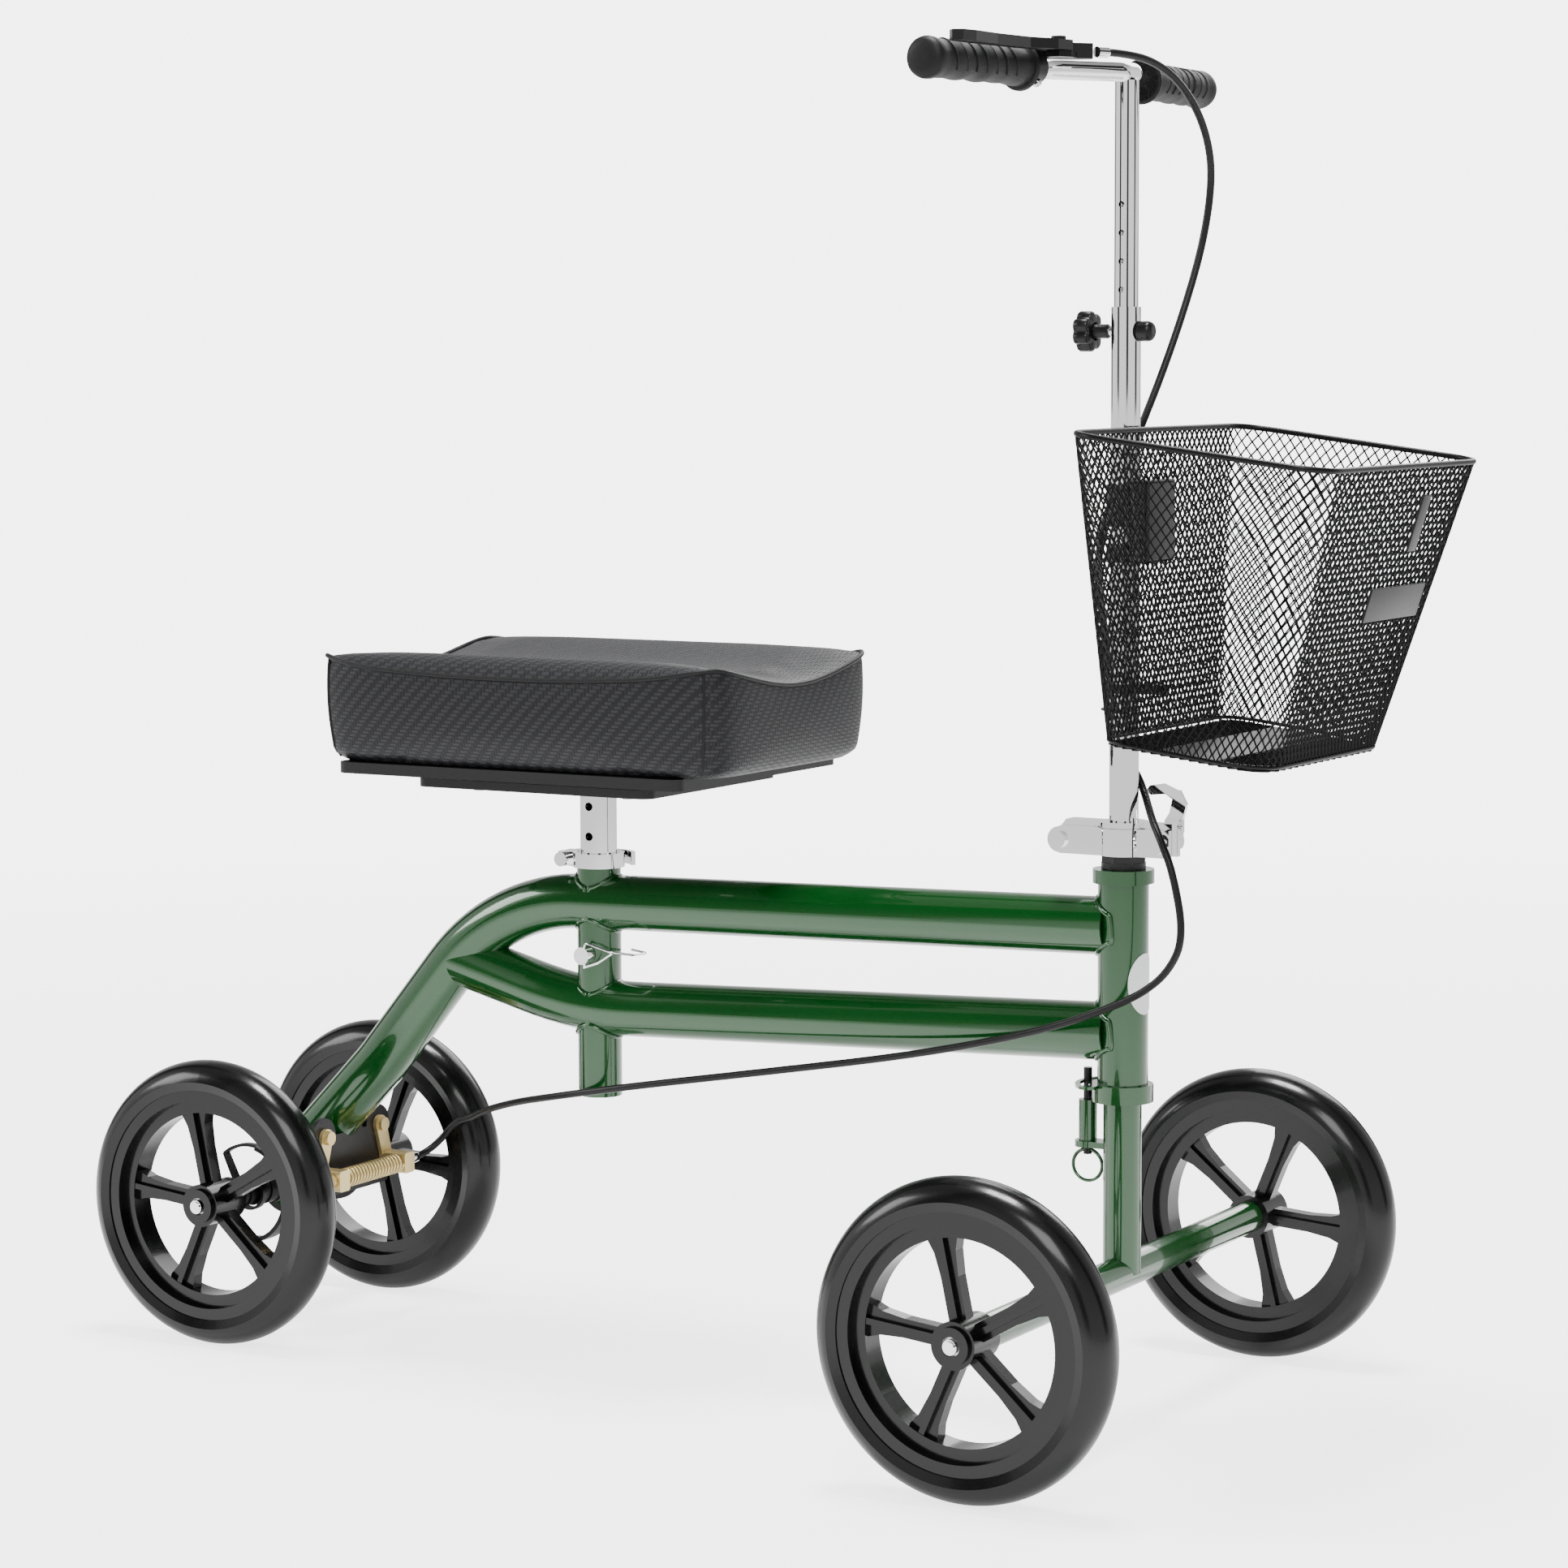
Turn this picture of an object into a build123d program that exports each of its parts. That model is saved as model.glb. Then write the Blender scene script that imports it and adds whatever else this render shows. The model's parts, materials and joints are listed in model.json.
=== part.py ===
from build123d import *
import os
from math import acos, atan2, cos, degrees, pi, radians, sin, tan

# Knee scooter: four wheels, a bent two-tube frame, a knee pad on a sliding post, and a
# steering column that folds back and carries a telescopic handlebar and a basket.
# Millimetres. +X forward, +Y to the rider's left, +Z up. The origin lies on the floor,
# straight below the steering axis.

os.makedirs("parts", exist_ok=True)

# ---------------------------------------------------------------- clearances
FIT = 0.05  # shaft in its hole
SEAT = 0.05  # pieces pressed or welded together
GAP = 0.3  # free faces that turn or slide past each other

# ---------------------------------------------------------------- driving dimensions
WHEEL_R = 101.5  # 8 inch wheel
WHEELBASE = 661.0
FRONT_TRACK = 440.0
REAR_TRACK = 206.0
TYRE_W = 36.0
TYRE_BORE_R = 82.0
RIM_HALF = 15.0
RIM_LIP = 8.0
RIM_INNER_R = 65.0
SPOKES = 5
HUB_R = 15.0
HUB_HALF = 17.0
CAP_R = 12.0
CAP_T = 3.0
BEARING_R = 11.0
BEARING_W = 7.0
AXLE_R = 4.0
NUT_R = 4.8
NUT_H = 5.7

MAIN_TUBE_R = 19.05  # 1.5 inch main tubes
MAIN_WALL = 2.0
UPPER_HEAD_Z = 329.0
UPPER_BEND = (-482.5, 318.6)
UPPER_KNEE = (-588.0, 192.8)
UPPER_BENDS = (150.0, 120.0)
LOWER_HEAD_Z = 260.0
LOWER_BEND = (-413.4, 245.6)
LOWER_END = (-520.5, 273.3)
LOWER_BEND_R = 300.0

SEAT_X = -402.0
SEAT_TUBE_R = 15.2
SEAT_TUBE_BOTTOM = 185.0
SEAT_TUBE_TOP = 355.0
POST_R = 12.7  # 1 inch post
POST_WALL = 2.2
POST_BOTTOM = 222.0
SEAT_DOWN = 46.0
SEAT_UP = 51.0
LOCK_Z = 285.0
LOCK_R = 3.0
LOCK_HEAD_R = 6.0
BAIL_R = 0.9
COLLAR_R = 18.0
COLLAR_H = 10.0
COLLAR_BOLT_X = -425.0

PAD_REAR = -563.0
PAD_FRONT = -244.0
PAD_HALF_W = 110.0
PAD_H = 75.0
PAD_FLARE = 3.8
PAD_DIP = 13.0
UPPER_PLATE = (-547.0, -272.0, 108.0)  # rear, front, half width
LOWER_PLATE = (-496.0, -308.0, 86.0)
PLATE_Z = 404.0
PLATE_H = 6.0
LIP_H = 7.7
SHEET_T = 2.0

CROSS_R = 18.0  # tube across the rear axle
CROSS_LEFT = 62.0
CROSS_RIGHT = -20.0
SPINDLE_R = 6.0
STUD_R = 2.5

HEAD_R = 16.5
HEAD_BOTTOM = 215.0
HEAD_TOP = 367.0
CUP_R = 20.0
CUP_H = 9.0
STEM_R = 12.5  # fork stem
STEM_WALL = 2.5
AXLE_TUBE_R = 11.0
AXLE_TUBE_WALL = 2.5
BOLT_DEPTH = 25.0
STEER_LIMIT = 35.0

PLUNGER_R = 2.8
PLUNGER_TUBE_R = 6.0
PLUNGER_AT = 25.0  # behind the steering axis
TAB_TOP = 226.5
TAB_T = 2.0
RING_R = 10.5
RING_WIRE_R = 1.0

NUT_TOP = 376.0
CLAMP_TOP = 394.0
CLAMP_R = 16.0
FOLD_X = -40.6
FOLD_Z = 385.0
FOLD_PIN_R = 3.0
REAR_EAR = (6.0, 12.0)
FRONT_EAR = (4.5, 9.0)
CAP_TOP = 398.0
CLAMP_BOLT_X = 28.0
CLAMP_BOLT_R = 2.5
LEVER_Y = 14.0
CAM_R = 4.7

COLUMN_R = 9.525  # 3/4 inch column
COLUMN_TOP = 728.0
BAR_STEM_R = 7.8
BAR_STEM_WALL = 1.5
BAR_STEM_BOTTOM = 480.0
KNOB_Z = 712.5
KNOB_R = 13.25
KNOB_T = 9.0
SCREW_R = 3.0
HOLE_TOP_Z = 792.7
HOLE_PITCH = 18.0
HOLE_COUNT = 10
HOLE_R = 2.0

BAR_Z = 876.0
BAR_R = 6.35
BAR_WALL = 1.5
BAR_CENTRE_Y = 8.0
BAR_ELBOW = (-29.4, 60.0)
BAR_END = (-40.0, 198.0)
GRIP_R = 12.7
GRIP_START = 85.0
GRIP_CAP = 2.5

BASKET_TILT = 7.3
BASKET_RIM = (107.5, 639.5)  # centre of the rim, x and z
BASKET_FLOOR = (85.0, 450.5)
RIM_SIZE = (166.0, 260.0)
FLOOR_SIZE = (112.0, 200.0)
RIM_CORNER_R = 45.0
FLOOR_CORNER_R = 42.0
BASKET_WALL = 2.0
BRACKET_Z = (565.0, 615.0)
BRACKET_HALF_W = 16.5
BRACKET_FACE = 22.0
STAY_Z = 484.0

BRAKE_FACE_X = -616.0
BRACKET_T = 4.0
BRACKET_HALF = 46.0
BRAKE_PIVOT = (33.0, 140.0)
EAR_R = 14.0
ARM_T = 3.0
BLOCK_IN = 34.0
BLOCK_OUT = 46.0
ROD = (-600.0, 112.0)
ROD_R = 2.2
SPRING_R = 6.5
BARREL_END = 50.8
BAND_Y = -61.0
BAND_R = 36.0
BAND_T = 3.0

CABLE_R = 2.5

AXLE_Z = WHEEL_R
REAR_X = -WHEELBASE


def write(builder, label):
    """Name a finished sub-part and write it to its own file."""
    builder.part.label = label
    export_step(builder.part, f"parts/{label}.step")


def across(x, y, z, side=1):
    """Sketch plane through an axle: first axis along Y to the given side, second up."""
    return Plane(origin=(x, y, z), x_dir=(0, side, 0), z_dir=(side, 0, 0))


def flank(x, y, z):
    """Sketch plane facing -Y: first axis forward, second up."""
    return Plane(origin=(x, y, z), x_dir=(1, 0, 0), z_dir=(0, -1, 0))


def span(start, end, outer, inner=0.0):
    """Half section of a sleeve, to be turned about the sketch's first axis."""
    with Locations(((start + end) / 2, (outer + inner) / 2)):
        Rectangle(end - start, outer - inner)


def strip(low, high):
    """Rectangle between two opposite corners."""
    with Locations(((low[0] + high[0]) / 2, (low[1] + high[1]) / 2)):
        Rectangle(high[0] - low[0], high[1] - low[1])


def swept(points, radii, outer, inner=0.0):
    """Round bar or tube along straight runs joined by tangent arcs."""
    with BuildPart() as body:
        with BuildLine() as path:
            FilletPolyline(*points, radius=list(radii))
        with BuildSketch(Plane(origin=path.line @ 0, z_dir=path.line % 0)):
            Circle(outer)
            if inner:
                Circle(inner, mode=Mode.SUBTRACT)
        sweep(path=path.line)
    return body.part


# ---------------------------------------------------------------- wheels
WHEELS = {
    "front_right": (0.0, -FRONT_TRACK / 2, 30.0),
    "front_left": (0.0, FRONT_TRACK / 2, -4.0),
    "rear_right": (REAR_X, -REAR_TRACK / 2, 30.0),
    "rear_left": (REAR_X, REAR_TRACK / 2, -4.0),
}
SPOKE_EDGE = ((8.0, 6.0), (40.0, 6.0), (56.0, 7.6), (67.0, 11.5))


def tyre(name, x, y):
    """Solid tyre with a round crown, shrunk on to the rim."""
    half = TYRE_W / 2
    with BuildPart() as body:
        with BuildSketch(across(x, y, AXLE_Z)):
            with BuildLine():
                shoulder = TYRE_BORE_R + 6
                ThreePointArc((-half, shoulder), (0, WHEEL_R), (half, shoulder))
                Polyline(
                    (half, shoulder), (half - 2, TYRE_BORE_R),
                    (2 - half, TYRE_BORE_R), (-half, shoulder),
                )
            make_face()
        revolve(axis=Axis((x, y, AXLE_Z), (0, 1, 0)))
    write(body, f"{name}_tyre")


def wheel_centre(name, x, y, first_spoke):
    """Moulded rim, five ribbed spokes and hub, with a separate cap on its outer end."""
    axis = Axis((x, y, AXLE_Z), (0, 1, 0))
    plane = across(x, y, AXLE_Z, 1 if y > 0 else -1)
    edge = [(r, -w) for r, w in SPOKE_EDGE] + [(r, w) for r, w in reversed(SPOKE_EDGE)]
    rim_r = TYRE_BORE_R - SEAT
    with BuildPart() as body:
        with BuildSketch(plane):
            span(-RIM_HALF, RIM_HALF, rim_r, rim_r - RIM_LIP)
            span(-9, 9, rim_r - RIM_LIP + 1, RIM_INNER_R)
        revolve(axis=axis)
        with BuildSketch(flank(x, y, AXLE_Z)):
            with PolarLocations(0, SPOKES, start_angle=first_spoke):
                Polygon(*edge, align=None)
        extrude(amount=5.0, both=True)
        with BuildSketch(flank(x, y, AXLE_Z)):
            with PolarLocations(0, SPOKES, start_angle=first_spoke):
                strip((HUB_R - 2, -2), (RIM_INNER_R + 2, 2))
        extrude(amount=8.5, both=True)
        with BuildSketch(plane):
            span(-HUB_HALF, HUB_HALF, HUB_R)
        revolve(axis=axis)
        with BuildSketch(plane):
            span(-HUB_HALF, HUB_HALF, AXLE_R + 2)
            span(-HUB_HALF, BEARING_W - HUB_HALF, BEARING_R)
            span(HUB_HALF - BEARING_W, HUB_HALF, BEARING_R)
        revolve(axis=axis, mode=Mode.SUBTRACT)
        with BuildSketch(plane):
            span(HUB_HALF + SEAT, HUB_HALF + CAP_T, CAP_R, NUT_R + 1.4)
        revolve(axis=axis)
    write(body, f"{name}_wheel")


def bearings(name, x, y):
    """Pair of ball bearings, one at each end of the hub."""
    with BuildPart() as body:
        with BuildSketch(across(x, y, AXLE_Z)):
            for start in (-HUB_HALF, HUB_HALF - BEARING_W):
                span(start + SEAT, start + BEARING_W - SEAT, BEARING_R - SEAT, AXLE_R + FIT)
        revolve(axis=Axis((x, y, AXLE_Z), (0, 1, 0)))
    write(body, f"{name}_bearings")


for wheel_name, (wheel_x, wheel_y, spoke_angle) in WHEELS.items():
    tyre(wheel_name, wheel_x, wheel_y)
    wheel_centre(wheel_name, wheel_x, wheel_y, spoke_angle)
    bearings(wheel_name, wheel_x, wheel_y)

# ---------------------------------------------------------------- frame tubes
upper_path = [
    (-8, 0, UPPER_HEAD_Z),
    (UPPER_BEND[0], 0, UPPER_BEND[1]),
    (UPPER_KNEE[0], 0, UPPER_KNEE[1]),
    (REAR_X - 3, 0, AXLE_Z + 13.5),
]
lower_path = [
    (-8, 0, LOWER_HEAD_Z),
    (LOWER_BEND[0], 0, LOWER_BEND[1]),
    (LOWER_END[0], 0, LOWER_END[1]),
]
upper_solid = swept(upper_path, UPPER_BENDS, MAIN_TUBE_R + SEAT)

with BuildPart() as upper_tube:
    add(swept(upper_path, UPPER_BENDS, MAIN_TUBE_R, MAIN_TUBE_R - MAIN_WALL))
    with BuildSketch(Plane.XY):
        Circle(HEAD_R + SEAT)
        with Locations((SEAT_X, 0)):
            Circle(SEAT_TUBE_R + SEAT)
    extrude(amount=HEAD_TOP, mode=Mode.SUBTRACT)
    with BuildSketch(flank(REAR_X, 0, AXLE_Z)):
        Circle(CROSS_R + SEAT)
    extrude(amount=30, both=True, mode=Mode.SUBTRACT)
write(upper_tube, "upper_tube")

with BuildPart() as lower_tube:
    add(swept(lower_path, [LOWER_BEND_R], MAIN_TUBE_R, MAIN_TUBE_R - MAIN_WALL))
    with BuildSketch(Plane.XY):
        Circle(HEAD_R + SEAT)
        with Locations((SEAT_X, 0)):
            Circle(SEAT_TUBE_R + SEAT)
    extrude(amount=HEAD_TOP, mode=Mode.SUBTRACT)
    add(upper_solid, mode=Mode.SUBTRACT)
write(lower_tube, "lower_tube")

with BuildPart() as seat_tube:
    with BuildSketch(Plane.XY.offset(SEAT_TUBE_BOTTOM)):
        with Locations((SEAT_X, 0)):
            Circle(SEAT_TUBE_R)
            Circle(POST_R + FIT, mode=Mode.SUBTRACT)
    extrude(amount=SEAT_TUBE_TOP - SEAT_TUBE_BOTTOM)
    with BuildSketch(flank(SEAT_X, 0, LOCK_Z)):
        Circle(LOCK_R + FIT)
    extrude(amount=2 * SEAT_TUBE_R, both=True, mode=Mode.SUBTRACT)
write(seat_tube, "seat_tube")

head_axis = Axis((0, 0, 0), (0, 0, 1))
slot_half = degrees(PLUNGER_R / PLUNGER_AT) + STEER_LIMIT + 1
tab_half = slot_half + 9
with BuildPart() as head_tube:
    with BuildSketch(Plane.XZ):
        strip((STEM_R + FIT, HEAD_BOTTOM), (HEAD_R, HEAD_TOP))
        strip((STEM_R + FIT, HEAD_TOP - CUP_H), (CUP_R, HEAD_TOP))
        strip((STEM_R + FIT, HEAD_BOTTOM), (CUP_R, TAB_TOP))
    revolve(axis=head_axis)
    with BuildSketch(Plane.XY.offset(TAB_TOP - TAB_T)):
        SlotArc(CenterArc((0, 0), PLUNGER_AT, 180 - tab_half, 2 * tab_half), 12)
        SlotArc(
            CenterArc((0, 0), PLUNGER_AT, 180 - slot_half, 2 * slot_half),
            2 * PLUNGER_R + 4 * FIT, mode=Mode.SUBTRACT,
        )
    extrude(amount=TAB_T)
    with BuildSketch(Plane.XY):
        Circle(STEM_R + FIT)
    extrude(amount=HEAD_TOP, mode=Mode.SUBTRACT)
write(head_tube, "head_tube")

# ---------------------------------------------------------------- rear axle
axle_axis = Axis((REAR_X, 0, AXLE_Z), (0, 1, 0))
axle_plane = across(REAR_X, 0, AXLE_Z)
shoulder_y = REAR_TRACK / 2 - HUB_HALF - GAP
nut_y = REAR_TRACK / 2 + HUB_HALF + GAP

with BuildPart() as rear_cross_tube:
    with BuildSketch(axle_plane):
        span(CROSS_RIGHT, CROSS_LEFT, CROSS_R, CROSS_R - 2.5)
        span(CROSS_RIGHT, CROSS_RIGHT + 6, CROSS_R, SPINDLE_R + SEAT)
        span(CROSS_LEFT - 6, CROSS_LEFT, CROSS_R, SPINDLE_R + SEAT)
    revolve(axis=axle_axis)
write(rear_cross_tube, "rear_cross_tube")

with BuildPart() as rear_axle:
    with BuildSketch(axle_plane):
        span(-shoulder_y, shoulder_y, SPINDLE_R)
        span(-nut_y, nut_y, AXLE_R)
        span(-nut_y - 2.5, nut_y + 2.5, STUD_R)
    revolve(axis=axle_axis)
write(rear_axle, "rear_axle")


with BuildPart() as rear_axle_nuts:
    for side in (-1, 1):
        near = nut_y + SEAT
        with BuildSketch(across(REAR_X, 0, AXLE_Z, side)):
            span(near, near + 4, NUT_R, STUD_R + SEAT)
            span(near + 3, near + NUT_H, NUT_R - 1)
            span(near + 3, near + 4.6, NUT_R)
        revolve(axis=axle_axis)
write(rear_axle_nuts, "rear_axle_nuts")

RIBS = 6


def ribbed(start, end, root_r, tip_r):
    """Half section of a rubber sleeve whose rings shrink towards the wheel."""
    step = (end - start) / RIBS
    for rib in range(RIBS):
        outer = root_r + (tip_r - root_r) * rib / (RIBS - 1)
        at = start + rib * step
        span(at, at + 0.72 * step, outer, SPINDLE_R + SEAT)
        span(at, at + step, outer - 1.2, SPINDLE_R + SEAT)


with BuildPart() as axle_sleeves:
    with BuildSketch(across(REAR_X, 0, AXLE_Z, -1)):
        ribbed(-CROSS_RIGHT + SEAT, shoulder_y - 0.7, 13.0, 8.0)
    revolve(axis=axle_axis)
    with BuildSketch(axle_plane):
        ribbed(CROSS_LEFT + SEAT, shoulder_y - 0.7, 10.0, 8.0)
    revolve(axis=axle_axis)
write(axle_sleeves, "axle_sleeves")

# ---------------------------------------------------------------- rear brake
def bow(radius, width, start, end):
    """Part of a flat ring about the sketch's origin, between two angles in degrees."""
    Circle(radius + width / 2)
    Circle(radius - width / 2, mode=Mode.SUBTRACT)
    step = (360 - end + start) / 6
    far = [(0, 0)]
    for count in range(7):
        turn = radians(end + count * step)
        far.append((3 * radius * cos(turn), 3 * radius * sin(turn)))
    Polygon(*far, align=None, mode=Mode.SUBTRACT)


pivot_y, pivot_z = BRAKE_PIVOT
plate_back = BRAKE_FACE_X - BRACKET_T
face_plane = Plane(origin=(plate_back, 0, 0), x_dir=(0, 1, 0), z_dir=(1, 0, 0))
with BuildPart() as brake_bracket:
    with BuildSketch(face_plane):
        strip((-BRACKET_HALF, pivot_z - 44), (BRACKET_HALF, pivot_z))
        with Locations((-pivot_y, pivot_z), (pivot_y, pivot_z)):
            Circle(EAR_R)
    extrude(amount=BRACKET_T)
    fillet(brake_bracket.edges().filter_by(Axis.X).group_by(Axis.Z)[0], 6)
    for web in (CROSS_RIGHT + 0.5, 40.0):
        with BuildSketch(flank(0, web, 0)):
            strip((REAR_X - 6, pivot_z - 40), (plate_back + 1, pivot_z - 8))
            with Locations((REAR_X, AXLE_Z)):
                Circle(CROSS_R + 5)
        extrude(amount=-3.0)
    with BuildSketch(flank(REAR_X, 0, AXLE_Z)):
        Circle(CROSS_R + SEAT)
    extrude(amount=60, both=True, mode=Mode.SUBTRACT)
    add(upper_solid, mode=Mode.SUBTRACT)
    with BuildSketch(face_plane.offset(-1)):
        with Locations((-pivot_y, pivot_z), (pivot_y, pivot_z)):
            Circle(2.5 + SEAT)
    extrude(amount=BRACKET_T + 2, mode=Mode.SUBTRACT)
write(brake_bracket, "brake_bracket")

arm_back = BRAKE_FACE_X + GAP
arm_face = arm_back + ARM_T
with BuildPart() as brake_pivot_bolts:
    for side in (-1, 1):
        at = (0, side * pivot_y, pivot_z)
        with BuildSketch(Plane(origin=at, x_dir=(1, 0, 0), z_dir=(0, -1, 0))):
            span(plate_back - 3, arm_face + GAP, 2.5)
            span(arm_face + GAP, arm_face + GAP + 3, 5.0)
            span(plate_back - 3, plate_back - SEAT, 4.5)
        revolve(axis=Axis(at, (1, 0, 0)))
write(brake_pivot_bolts, "brake_pivot_bolts")

rod_x, rod_z = ROD
rod_plane = across(rod_x, 0, rod_z)
rod_axis = Axis((rod_x, 0, rod_z), (0, 1, 0))
for side, label in ((-1, "brake_arm_right"), (1, "brake_arm_left")):
    with BuildPart() as brake_arm:
        with BuildSketch(Plane(origin=(arm_back, 0, 0), x_dir=(0, 1, 0), z_dir=(1, 0, 0))):
            with Locations((side * pivot_y, pivot_z)):
                Circle(6.5)
            block_y = side * (BLOCK_IN + BLOCK_OUT) / 2
            Polygon(
                (side * pivot_y - side * 6.4, pivot_z), (side * BLOCK_IN, rod_z + 4),
                (side * BLOCK_OUT, rod_z + 4), (side * pivot_y + side * 6.4, pivot_z),
                align=None,
            )
        extrude(amount=ARM_T)
        with BuildSketch(Plane(origin=(arm_back, 0, 0), x_dir=(0, 1, 0), z_dir=(1, 0, 0))):
            with Locations((block_y, rod_z)):
                RectangleRounded(BLOCK_OUT - BLOCK_IN, 15, 2)
        extrude(amount=rod_x + 7 - arm_back)
        with BuildSketch(Plane(origin=(arm_back, 0, 0), x_dir=(0, 1, 0), z_dir=(1, 0, 0))):
            with Locations((side * pivot_y, pivot_z)):
                Circle(2.5 + FIT)
        extrude(amount=ARM_T, mode=Mode.SUBTRACT)
        with BuildSketch(flank(rod_x, 0, rod_z)):
            Circle(ROD_R + 1.6)
        extrude(amount=BLOCK_OUT + 1, both=True, mode=Mode.SUBTRACT)
    write(brake_arm, label)

with BuildPart() as brake_spring:
    with BuildSketch(rod_plane):
        span(GAP - BLOCK_IN, BLOCK_IN - GAP, SPRING_R, SPRING_R - 1.6)
    revolve(axis=rod_axis)
write(brake_spring, "brake_spring")

with BuildPart() as brake_adjuster:
    with BuildSketch(rod_plane):
        span(-BLOCK_OUT - 4, BLOCK_OUT + 2, ROD_R)
        span(-BLOCK_OUT - 3.7, -BLOCK_OUT - GAP, 5.0)
        span(BLOCK_OUT + GAP, BARREL_END, 4.0)
    revolve(axis=rod_axis)
write(brake_adjuster, "brake_adjuster")

with BuildPart() as brake_band:
    band_plane = flank(REAR_X, BAND_Y, AXLE_Z)
    middle = BAND_R - BAND_T / 2
    with BuildSketch(band_plane):
        bow(middle, BAND_T, -110, 75)
    extrude(amount=7, both=True)
    with BuildSketch(band_plane):
        bow(middle - 0.4, BAND_T - 0.8, 65, 130)
        Polygon(
            (-20.4, 27.8), (-22.8, 26.0), (-12.8, 4.5), (-10.0, 7.5), align=None,
        )
        Circle(13.0)
    extrude(amount=2.5, both=True)
    with BuildSketch(band_plane):
        Circle(10.9)
    extrude(amount=3, both=True, mode=Mode.SUBTRACT)
write(brake_band, "brake_band")

# ---------------------------------------------------------------- fork and fold clamp
axle_end = FRONT_TRACK / 2 - HUB_HALF - GAP
with BuildPart() as front_axle_tube:
    with BuildSketch(across(0, 0, AXLE_Z)):
        span(-axle_end, axle_end, AXLE_TUBE_R)
    revolve(axis=Axis((0, 0, AXLE_Z), (0, 1, 0)))
    with BuildSketch(across(0, 0, AXLE_Z)):
        span(-axle_end, axle_end, AXLE_R + FIT)
        span(BOLT_DEPTH - axle_end, axle_end - BOLT_DEPTH, AXLE_TUBE_R - AXLE_TUBE_WALL)
    revolve(axis=Axis((0, 0, AXLE_Z), (0, 1, 0)), mode=Mode.SUBTRACT)
write(front_axle_tube, "front_axle_tube")

bolt_seat = FRONT_TRACK / 2 + HUB_HALF + GAP
with BuildPart() as front_axle_bolts:
    for side in (-1, 1):
        with BuildSketch(across(0, 0, AXLE_Z, side)):
            span(axle_end - BOLT_DEPTH + 1, bolt_seat + 1, AXLE_R)
            span(bolt_seat, bolt_seat + 4, NUT_R)
            span(bolt_seat, bolt_seat + NUT_H, NUT_R - 1)
        revolve(axis=Axis((0, 0, AXLE_Z), (0, 1, 0)))
write(front_axle_bolts, "front_axle_bolts")

with BuildPart() as stem_tube:
    with BuildSketch(Plane.XY.offset(AXLE_Z)):
        Circle(STEM_R)
        Circle(STEM_R - STEM_WALL, mode=Mode.SUBTRACT)
    extrude(amount=CLAMP_TOP - AXLE_Z - 0.5)
    with BuildSketch(Plane.XZ):
        with Locations((0, AXLE_Z)):
            Circle(AXLE_TUBE_R + SEAT)
    extrude(amount=30, both=True, mode=Mode.SUBTRACT)
write(stem_tube, "stem_tube")

with BuildPart() as headset_nut:
    with BuildSketch(Plane.XY.offset(HEAD_TOP + GAP)):
        Circle(14.5)
        Circle(STEM_R + SEAT, mode=Mode.SUBTRACT)
    extrude(amount=4)
    with BuildSketch(Plane.XY.offset(HEAD_TOP + GAP + 4)):
        RegularPolygon(15.0, 8)
        Circle(STEM_R + SEAT, mode=Mode.SUBTRACT)
    extrude(amount=NUT_TOP - HEAD_TOP - GAP - 4)
write(headset_nut, "headset_nut")

PLATE_UNDER = 183.0
with BuildPart() as plunger_housing:
    with BuildSketch(Plane.XY.offset(PLATE_UNDER)):
        strip((-PLUNGER_AT, -7), (-STEM_R + 4, 7))
        with Locations((-PLUNGER_AT, 0)):
            Circle(8.5)
    extrude(amount=4)
    with BuildSketch(Plane.XY.offset(PLATE_UNDER)):
        with Locations((-PLUNGER_AT, 0)):
            Circle(PLUNGER_TUBE_R)
    extrude(amount=HEAD_BOTTOM - 1 - PLATE_UNDER)
    with BuildSketch(Plane.XY.offset(PLATE_UNDER)):
        Circle(STEM_R + SEAT)
        with Locations((-PLUNGER_AT, 0)):
            Circle(PLUNGER_R + FIT)
    extrude(amount=HEAD_BOTTOM - PLATE_UNDER, mode=Mode.SUBTRACT)
write(plunger_housing, "plunger_housing")

eye_z = PLATE_UNDER - RING_WIRE_R - 1.2
ring_z = eye_z - RING_R
with BuildPart() as plunger_pin:
    with BuildSketch(Plane.XY.offset(eye_z - 3)):
        with Locations((-PLUNGER_AT, 0)):
            Circle(PLUNGER_R)
    extrude(amount=TAB_TOP + 8.5 - eye_z + 3)
    with BuildSketch(Plane.YZ.offset(-PLUNGER_AT)):
        with Locations((0, eye_z)):
            Circle(RING_WIRE_R + 0.55)
    extrude(amount=5, both=True, mode=Mode.SUBTRACT)
    with BuildSketch(Plane.YZ.offset(-PLUNGER_AT)):
        with Locations((0, eye_z - 0.15)):
            Circle(RING_WIRE_R)
    revolve(axis=Axis((-PLUNGER_AT, 0, ring_z), (0, 1, 0)))
write(plunger_pin, "plunger_pin")

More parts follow.
